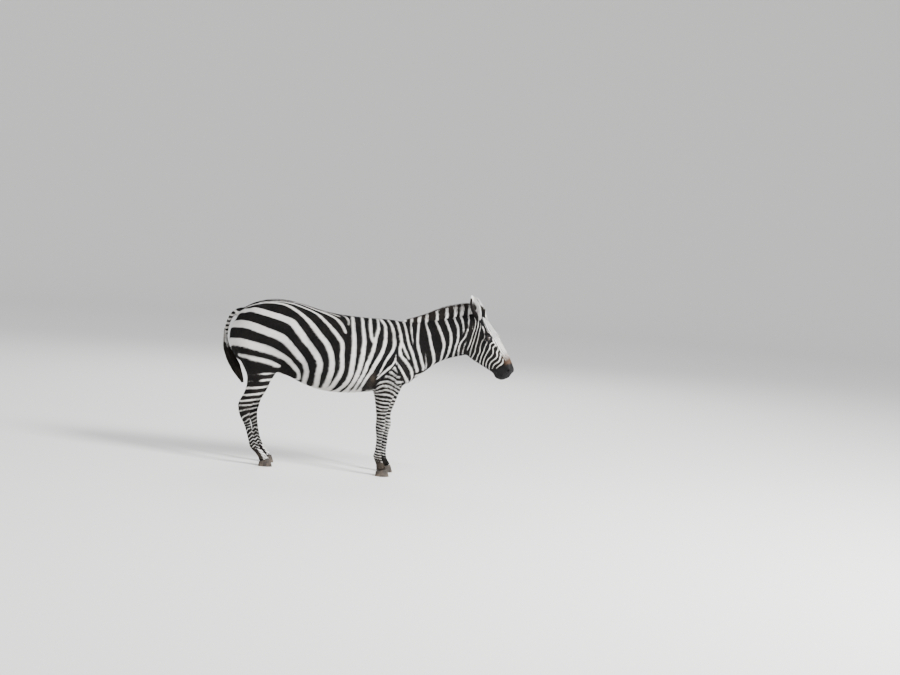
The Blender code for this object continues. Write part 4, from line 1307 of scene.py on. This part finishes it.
def addEar(name):
    plan = earPlan[name]
    matrix = earMatrix(plan)
    axes, origin = np.array(matrix.to_3x3()), np.array(matrix.translation)
    ear = copyNodes(["ear_" + name], "ear" + name.title())
    remesh(ear, earPlan["voxel"])
    smooth(ear, 5)
    points, normals = readPoints(ear), readPoints(ear, "normal")
    writePoints(ear, points - normals * 0.0008)
    ear.data.shade_smooth()
    local, turned = (points - origin) @ axes, normals @ axes
    marks = earMarks(local, turned, plan["side"])
    for key, values in marks.items():
        writeValues(ear, key, values)
    # painted shade: the ear's skin under its fur is set darker, like the strands' roots
    writeValues(ear, "shade", np.full(len(points), 0.3))
    roots, normals = scatter(ear, earPlan["tufts"], lambda p: np.ones(len(p)), 70 + plan["side"])
    rng = np.random.default_rng(80 + plan["side"])
    local, turned = (roots - origin) @ axes, normals @ axes
    front = ramp(turned[:, 0], 0.05, 0.4) * ramp(local[:, 0], -0.006, 0.002)
    inwards = -0.55 * np.sign(local[:, 1]) * front * ramp(np.abs(local[:, 1]), 0.004, 0.02)
    lie = np.stack([0.35 * front, inwards, np.ones(len(roots))], 1)
    lie = unit(lie + rng.normal(0, 0.12, lie.shape)) @ axes.T
    lie = unit(lie - normals * ((lie * normals).sum(1) * (1 - 0.4 * front))[:, None])
    length = (0.0065 + 0.013 * front * fade(local[:, 2], 0.12, 0.17)) * rng.uniform(0.7, 1.25, len(roots))
    length *= 1 - 0.5 * ramp(local[:, 2], 0.165, 0.185)
    rise = length * rng.uniform(0.08, 0.2, len(roots))
    paths = np.stack([roots - normals * 0.0004, roots + lie * length[:, None] + normals * rise[:, None]], 1)
    across = (local[:, 1] / 0.12 + 0.5) / 2 + 0.5 * (turned[:, 0] > 0)
    patch = np.stack([across, (local[:, 2] + 0.03) / 0.23], 1)
    widths, shade = rng.uniform(*earPlan["furWidth"], len(roots)), rng.random(len(roots))
    marks = earMarks(local, turned, plan["side"])
    fur = strandMesh("earFur" + name.title(), paths, normals, widths, tuftFlatness, marks, shade, patch)
    finishPiece(ear, skinFinish, "ear_fur", "ear_" + name)
    finishPiece(fur, coatFinish, "ear_fur")


addEar("right")
addEar("left")
print("ears")


# mane: upright locks from the crest, striped on from the neck
manePlan = {
    "locks": 8700,
    "from": 0.288,
    "to": 0.944,
    "spread": 0.019,
    "width": 0.0036,
    "flat": 0.4,
    "darkTip": 0.82,
}


def addMane():
    solid = copyNodes(["mane"], "maneGuide")
    tree = surfaceTree(solid)
    bpy.data.objects.remove(solid)
    rng = np.random.default_rng(91)
    down = Vector((0, 0, -1))
    roots, tips = [], []
    for _ in range(manePlan["locks"]):
        x = rng.uniform(manePlan["from"], manePlan["to"])
        middle = -0.040 * float(ramp(np.array(x), 0.25, 0.86)) - 0.004 * max(0.0, x - 0.86) / 0.08
        y = middle + manePlan["spread"] * rng.uniform(-1, 1) * (0.45 if x < 0.36 else 1)
        top = tree.ray_cast(Vector((x, y * 0.6 + middle * 0.4, 1.7)), down)[0]
        root = skinTree.ray_cast(Vector((x - 0.012 + 0.02 * rng.random(), y, 1.7)), down)[0]
        if top is None or root is None or top.z - root.z < 0.006:
            continue
        roots.append(root)
        tips.append(root + (top - root) * rng.uniform(0.86, 1.0))
    roots, tips = np.array(roots), np.array(tips)
    count = len(roots)
    sway = rng.normal(0, 0.0020, (count, 3)) * (1, 0.8, 0.2)
    middle = (roots + tips) / 2 + sway
    tips = tips + sway * 1.6
    low, high = roots * 0.6 + middle * 0.4 + sway * 0.1, tips * 0.6 + middle * 0.4
    paths = np.stack([roots - (0, 0, 0.006), low, middle, high, tips], 1)
    # the colour comes from the neck beside the root
    centre = neckMiddle(roots)
    side = np.where(roots[:, 1] > centre, 1, -1)
    beside = roots + np.stack([0.004 * np.ones(count), 0.020 * side, -0.016 * np.ones(count)], 1)
    beside = np.array([skinTree.find_nearest(Vector(p))[0] for p in beside])
    stripe = 1.4 * bodyMarks(beside) + 0.004
    rise = np.append(np.repeat(np.arange(4) / 4, 3), 1.0)
    tipStart = manePlan["darkTip"] + rng.normal(0, 0.06, count)
    dark = ramp(rise[None] - tipStart[:, None], -0.05, 0.12)
    stripes = stripe[:, None] * (1 - dark) - 0.012 * dark
    marks = {
        "stripe": stripes,
        "muzzle": np.zeros(count),
        "nose": 0.10 * dark,
        "dust": np.full(count, 0.06),
    }
    normals = unit(np.stack([rng.normal(0, 0.3, count), side * 1.0, rng.normal(0, 0.3, count)], 1))
    patch = np.stack([(roots[:, 0] - 0.25) / 0.75, (roots[:, 1] - centre) / 0.06 + 0.5], 1)
    widths = manePlan["width"] * rng.uniform(0.6, 1.2, count)
    mane = strandMesh("mane", paths, normals, widths, manePlan["flat"], marks, rng.random(count), patch)
    finishPiece(mane, coatFinish, "mane_hair", "mane")


addMane()
print("mane")


# tail tuft: long locks from the dock down, inside rings with a middle, a half width and a half depth in
# millimetres
tailPlan = {
    "middle": [
        (-1188, 0, 1100), (-1187, -2, 1040), (-1181.5, -6, 985),
        (-1169, -12, 937.5), (-1130, -24, 869), (-1083, -40, 801),
        (-1048, -55, 745), (-1018.5, -65, 699), (-1001, -71, 663),
    ],
    "half": (18, 21, 27, 33, 38, 36, 27, 16, 6),
    "deep": (18, 22, 29.5, 35, 43, 46, 35, 21, 9.5),
    "locks": 2700,
    "width": 0.0045,
    "flat": 0.4,
}


def addTailTuft():
    rng = np.random.default_rng(95)
    count, steps = tailPlan["locks"], 7
    middle = metres(tailPlan["middle"])
    starts = 4.6 * rng.uniform(0, 1, count) ** 0.6
    ends = np.clip(starts + rng.uniform(2.6, 5.0, count), 5.2, 7.95)
    where = starts[:, None] + (ends - starts)[:, None] * np.linspace(0, 1, steps)[None]
    index = np.arange(len(middle))
    centre = np.stack([np.interp(where, index, middle[:, i]) for i in range(3)], 2)
    half, depth = (np.interp(where, index, metres(tailPlan[key])) for key in ("half", "deep"))
    angle = rng.uniform(0, fullTurn, count)[:, None]
    angle = angle + rng.normal(0, 0.25, (count, 1)) * np.linspace(0, 1, steps)
    out = np.sqrt(rng.uniform(0.05, 1, count))[:, None] * np.linspace(0.72, 1.0, steps) * 0.93
    across = np.array((0.0, 1.0, 0.0))
    deep = unit(np.array((0.88, 0.12, 0.46)))
    paths = centre + (half * out * np.cos(angle))[..., None] * across
    paths = paths + (depth * out * np.sin(angle))[..., None] * deep
    normals = unit(np.cos(angle[:, 0])[:, None] * across + np.sin(angle[:, 0])[:, None] * deep)
    pale = fade(starts, 1.0, 2.4) * (rng.random(count) < 0.30)
    stripe = np.where(pale > 0.5, 0.004, -0.010)
    rise = np.append(np.repeat(np.arange(steps - 1) / (steps - 1), 3), 1.0)
    stripes = stripe[:, None] - 0.014 * ramp(rise[None], 0.25, 0.6)
    marks = {
        "stripe": stripes,
        "muzzle": np.zeros(count),
        "nose": 0.06 * rng.random(count),
        "dust": 0.35 * rng.random(count) ** 3,
    }
    patch = np.stack([angle[:, 0] / fullTurn % 1, starts / 8], 1)
    widths = tailPlan["width"] * rng.uniform(0.6, 1.2, count)
    tuft = strandMesh("tailTuft", paths, normals, widths, tailPlan["flat"], marks, rng.random(count), patch)
    finishPiece(tuft, coatFinish, "mane_hair", "tail_tuft")


addTailTuft()
print("tail tuft")


# hooves: smooth dark horn with growth rings, dusty towards the sole
hoofPlan = {
    "voxel": 0.0026,
    "ringHeight": 0.0065,
    "ringDepth": 0.00035,
    "ringsFrom": (0.004, 0.010),
    "ringsTo": (0.050, 0.056),
    "sole": 0.0022,
    "dark": (0.019, 0.0165, 0.0155),
    "pale": (0.062, 0.053, 0.046),
    "dust": (0.150, 0.118, 0.092),
}


def hornMaterial():
    made, tree, shader = newMaterial("hoofHorn")
    place = tree.nodes.new("ShaderNodeTexCoord")
    stretch = addNode(tree, "ShaderNodeMapping", Scale=(1, 1, 0.12))
    tree.links.new(place.outputs["Object"], stretch.inputs["Vector"])
    grain = noise(tree, stretch.outputs["Vector"], 160, 4)
    stain = noise(tree, place.outputs["Object"], 22, 5)
    colour = mixColours(tree, spread(tree, grain, 0.3, 0.75), hoofPlan["dark"], hoofPlan["pale"])
    height = tree.nodes.new("ShaderNodeSeparateXYZ")
    tree.links.new(place.outputs["Object"], height.inputs[0])
    low = spread(tree, height.outputs["Z"], 0.034, 0.004)
    lowDust = maths(tree, "ADD", maths(tree, "MULTIPLY", low, 0.6), 0.25)
    dusty = maths(tree, "MULTIPLY", spread(tree, stain, 0.35, 0.7), lowDust)
    colour = mixColours(tree, dusty, colour, hoofPlan["dust"])
    tree.links.new(colour, shader.inputs["Base Color"])
    tree.links.new(spread(tree, stain, 0.3, 0.8, 0.60, 0.82), shader.inputs["Roughness"])
    shader.inputs["Specular IOR Level"].default_value = 0.15
    addBump(tree, shader, grain, 0.35, 0.0006)
    return made


def addHoof(node, finish):
    hoof = copyNodes([node], node.title().replace("_", ""))
    remesh(hoof, hoofPlan["voxel"])
    smooth(hoof, 4)
    points, normals = readPoints(hoof), readPoints(hoof, "normal")
    z = points[:, 2]
    wall = ramp(z, *hoofPlan["ringsFrom"]) * (1 - ramp(z, *hoofPlan["ringsTo"]))
    wave = np.sin(z * fullTurn / hoofPlan["ringHeight"] + 2 * wobble(points, 12, 96))
    rings = hoofPlan["ringDepth"] * wave * wall
    points += normals * rings[:, None]
    points[:, 2] = np.where(z < hoofPlan["sole"], 0.0, points[:, 2])
    writePoints(hoof, points)
    hoof.data.shade_smooth()
    finishPiece(hoof, finish, "hoof_horn", node)


horn = hornMaterial()
for node in ("hoof_front_right", "hoof_front_left", "hoof_hind_right", "hoof_hind_left"):
    addHoof(node, horn)
print("hooves")


eyeTones = {
    "ball": (0.016, 0.012, 0.010),
    "irisDark": (0.010, 0.005, 0.003),
    "irisPale": (0.036, 0.018, 0.009),
    "pupil": (0.003, 0.003, 0.004),
}


def eyeMaterial():
    # a wet dark ball with a level oblong pupil
    made, tree, shader = newMaterial("wetEye")
    place = tree.nodes.new("ShaderNodeTexCoord")
    fibres = noise(tree, place.outputs["Object"], 900, 3)
    brown = mixColours(tree, fibres, eyeTones["irisDark"], eyeTones["irisPale"])
    iris = spread(tree, attribute(tree, "iris"), -0.0006, 0.0006)
    colour = mixColours(tree, iris, eyeTones["ball"], brown)
    pupil = spread(tree, attribute(tree, "pupil"), -0.0005, 0.0005)
    colour = mixColours(tree, pupil, colour, eyeTones["pupil"])
    tree.links.new(colour, shader.inputs["Base Color"])
    shader.inputs["Roughness"].default_value = 0.06
    shader.inputs["IOR"].default_value = 1.40
    shader.inputs["Coat Weight"].default_value = 1.0
    shader.inputs["Coat Roughness"].default_value = 0.02
    return made


eyeShape = {"bulgeFrom": 0.74, "bulge": 0.13, "pupil": (0.0070, 0.0036), "iris": 0.0138}


def addEye(name, side, finish):
    outward, forward, upward = eyeAxes(side)
    centre = np.array(eyePlan["place"]) * (1, side, 1)
    bpy.ops.object.select_all(action="DESELECT")
    bpy.ops.mesh.primitive_uv_sphere_add(segments=56, ring_count=36, radius=eyePlan["radius"])
    ball = bpy.context.object
    ball.name = "eyeball" + name.title()
    turn = np.stack([forward * side, upward, outward], 1)
    p = readPoints(ball)
    bulge = np.maximum(0, p[:, 2] / eyePlan["radius"] - eyeShape["bulgeFrom"])
    p *= (1 + eyeShape["bulge"] * bulge)[:, None]
    long, high = eyeShape["pupil"]
    pupil = 1 - np.sqrt((p[:, 0] / long) ** 2 + (p[:, 1] / high) ** 2)
    pupil = np.where(p[:, 2] > 0, pupil * high, -0.01)
    iris = np.where(p[:, 2] > 0, eyeShape["iris"] - np.hypot(p[:, 0], p[:, 1] * 1.08), -0.01)
    writePoints(ball, fromHead(centre + (p * 0.992) @ turn.T))
    writeValues(ball, "pupil", pupil)
    writeValues(ball, "iris", iris)
    ball.data.shade_smooth()
    finishPiece(ball, finish, "eye", "eye_" + name)


lashPlan = {"count": 90, "length": 0.011, "width": 0.0007, "flat": 0.5}


def addLashes(name, side):
    # lashes along the upper lid
    outward, forward, upward = eyeAxes(side)
    centre = np.array(eyePlan["place"]) * (1, side, 1)
    rng = np.random.default_rng(97 + side)
    count = lashPlan["count"]
    a = np.linspace(-0.75, 0.88, count) + rng.normal(0, 0.01, count)
    b = (1 - np.abs(a) ** 1.6) ** (1 / 1.6)
    along = (a * eyePlan["length"] / 0.024)[:, None] * forward
    spot = unit(outward + along + (b * eyePlan["upper"] / 0.020)[:, None] * upward)
    roots = centre + spot * (eyePlan["radius"] + 0.0012)
    lift = upward * (0.25 + 0.25 * rng.random((count, 1)))
    way = unit(outward * 0.9 + lift + forward * (a * 0.5 + rng.normal(0, 0.08, count))[:, None])
    length = (lashPlan["length"] * (0.55 + 0.45 * b) * rng.uniform(0.7, 1.1, count))[:, None]
    middle = roots + way * length * 0.55 - upward * 0.0012
    tips = roots + way * length + upward * 0.0008
    paths = np.stack([roots - spot * 0.001, middle, tips], 1)
    paths = fromHead(paths.reshape(-1, 3)).reshape(paths.shape)
    marks = {mark: np.zeros(count) for mark in ("stripe", "muzzle", "nose", "dust")}
    marks["stripe"] -= 0.01
    patch = np.stack([0.5 + a * 0.4, b * 0.8 + 0.1], 1)
    facing, widths = np.tile(headAxes @ upward, (count, 1)), np.full(count, lashPlan["width"])
    shade = rng.random(count) * 0.3
    lashes = strandMesh("lashes" + name.title(), paths, facing, widths, lashPlan["flat"], marks, shade, patch)
    finishPiece(lashes, coatFinish, "mane_hair")


wetEye = eyeMaterial()
for eyeName, eyeSide in (("right", -1), ("left", 1)):
    addEye(eyeName, eyeSide, wetEye)
    addLashes(eyeName, eyeSide)
print("eyes")


# the skin is painted last, because its surface guides the others
skinPoints = readPoints(skin)
paintPiece(skin, skinPoints)
# painted shade: the skin under the coat is set about as dark as the strands' roots
writeValues(skin, "shade", np.full(len(skinPoints), 0.35))
finishPiece(skin, skinFinish, "coat", *skinPlan["flesh"])
print("skin painted")
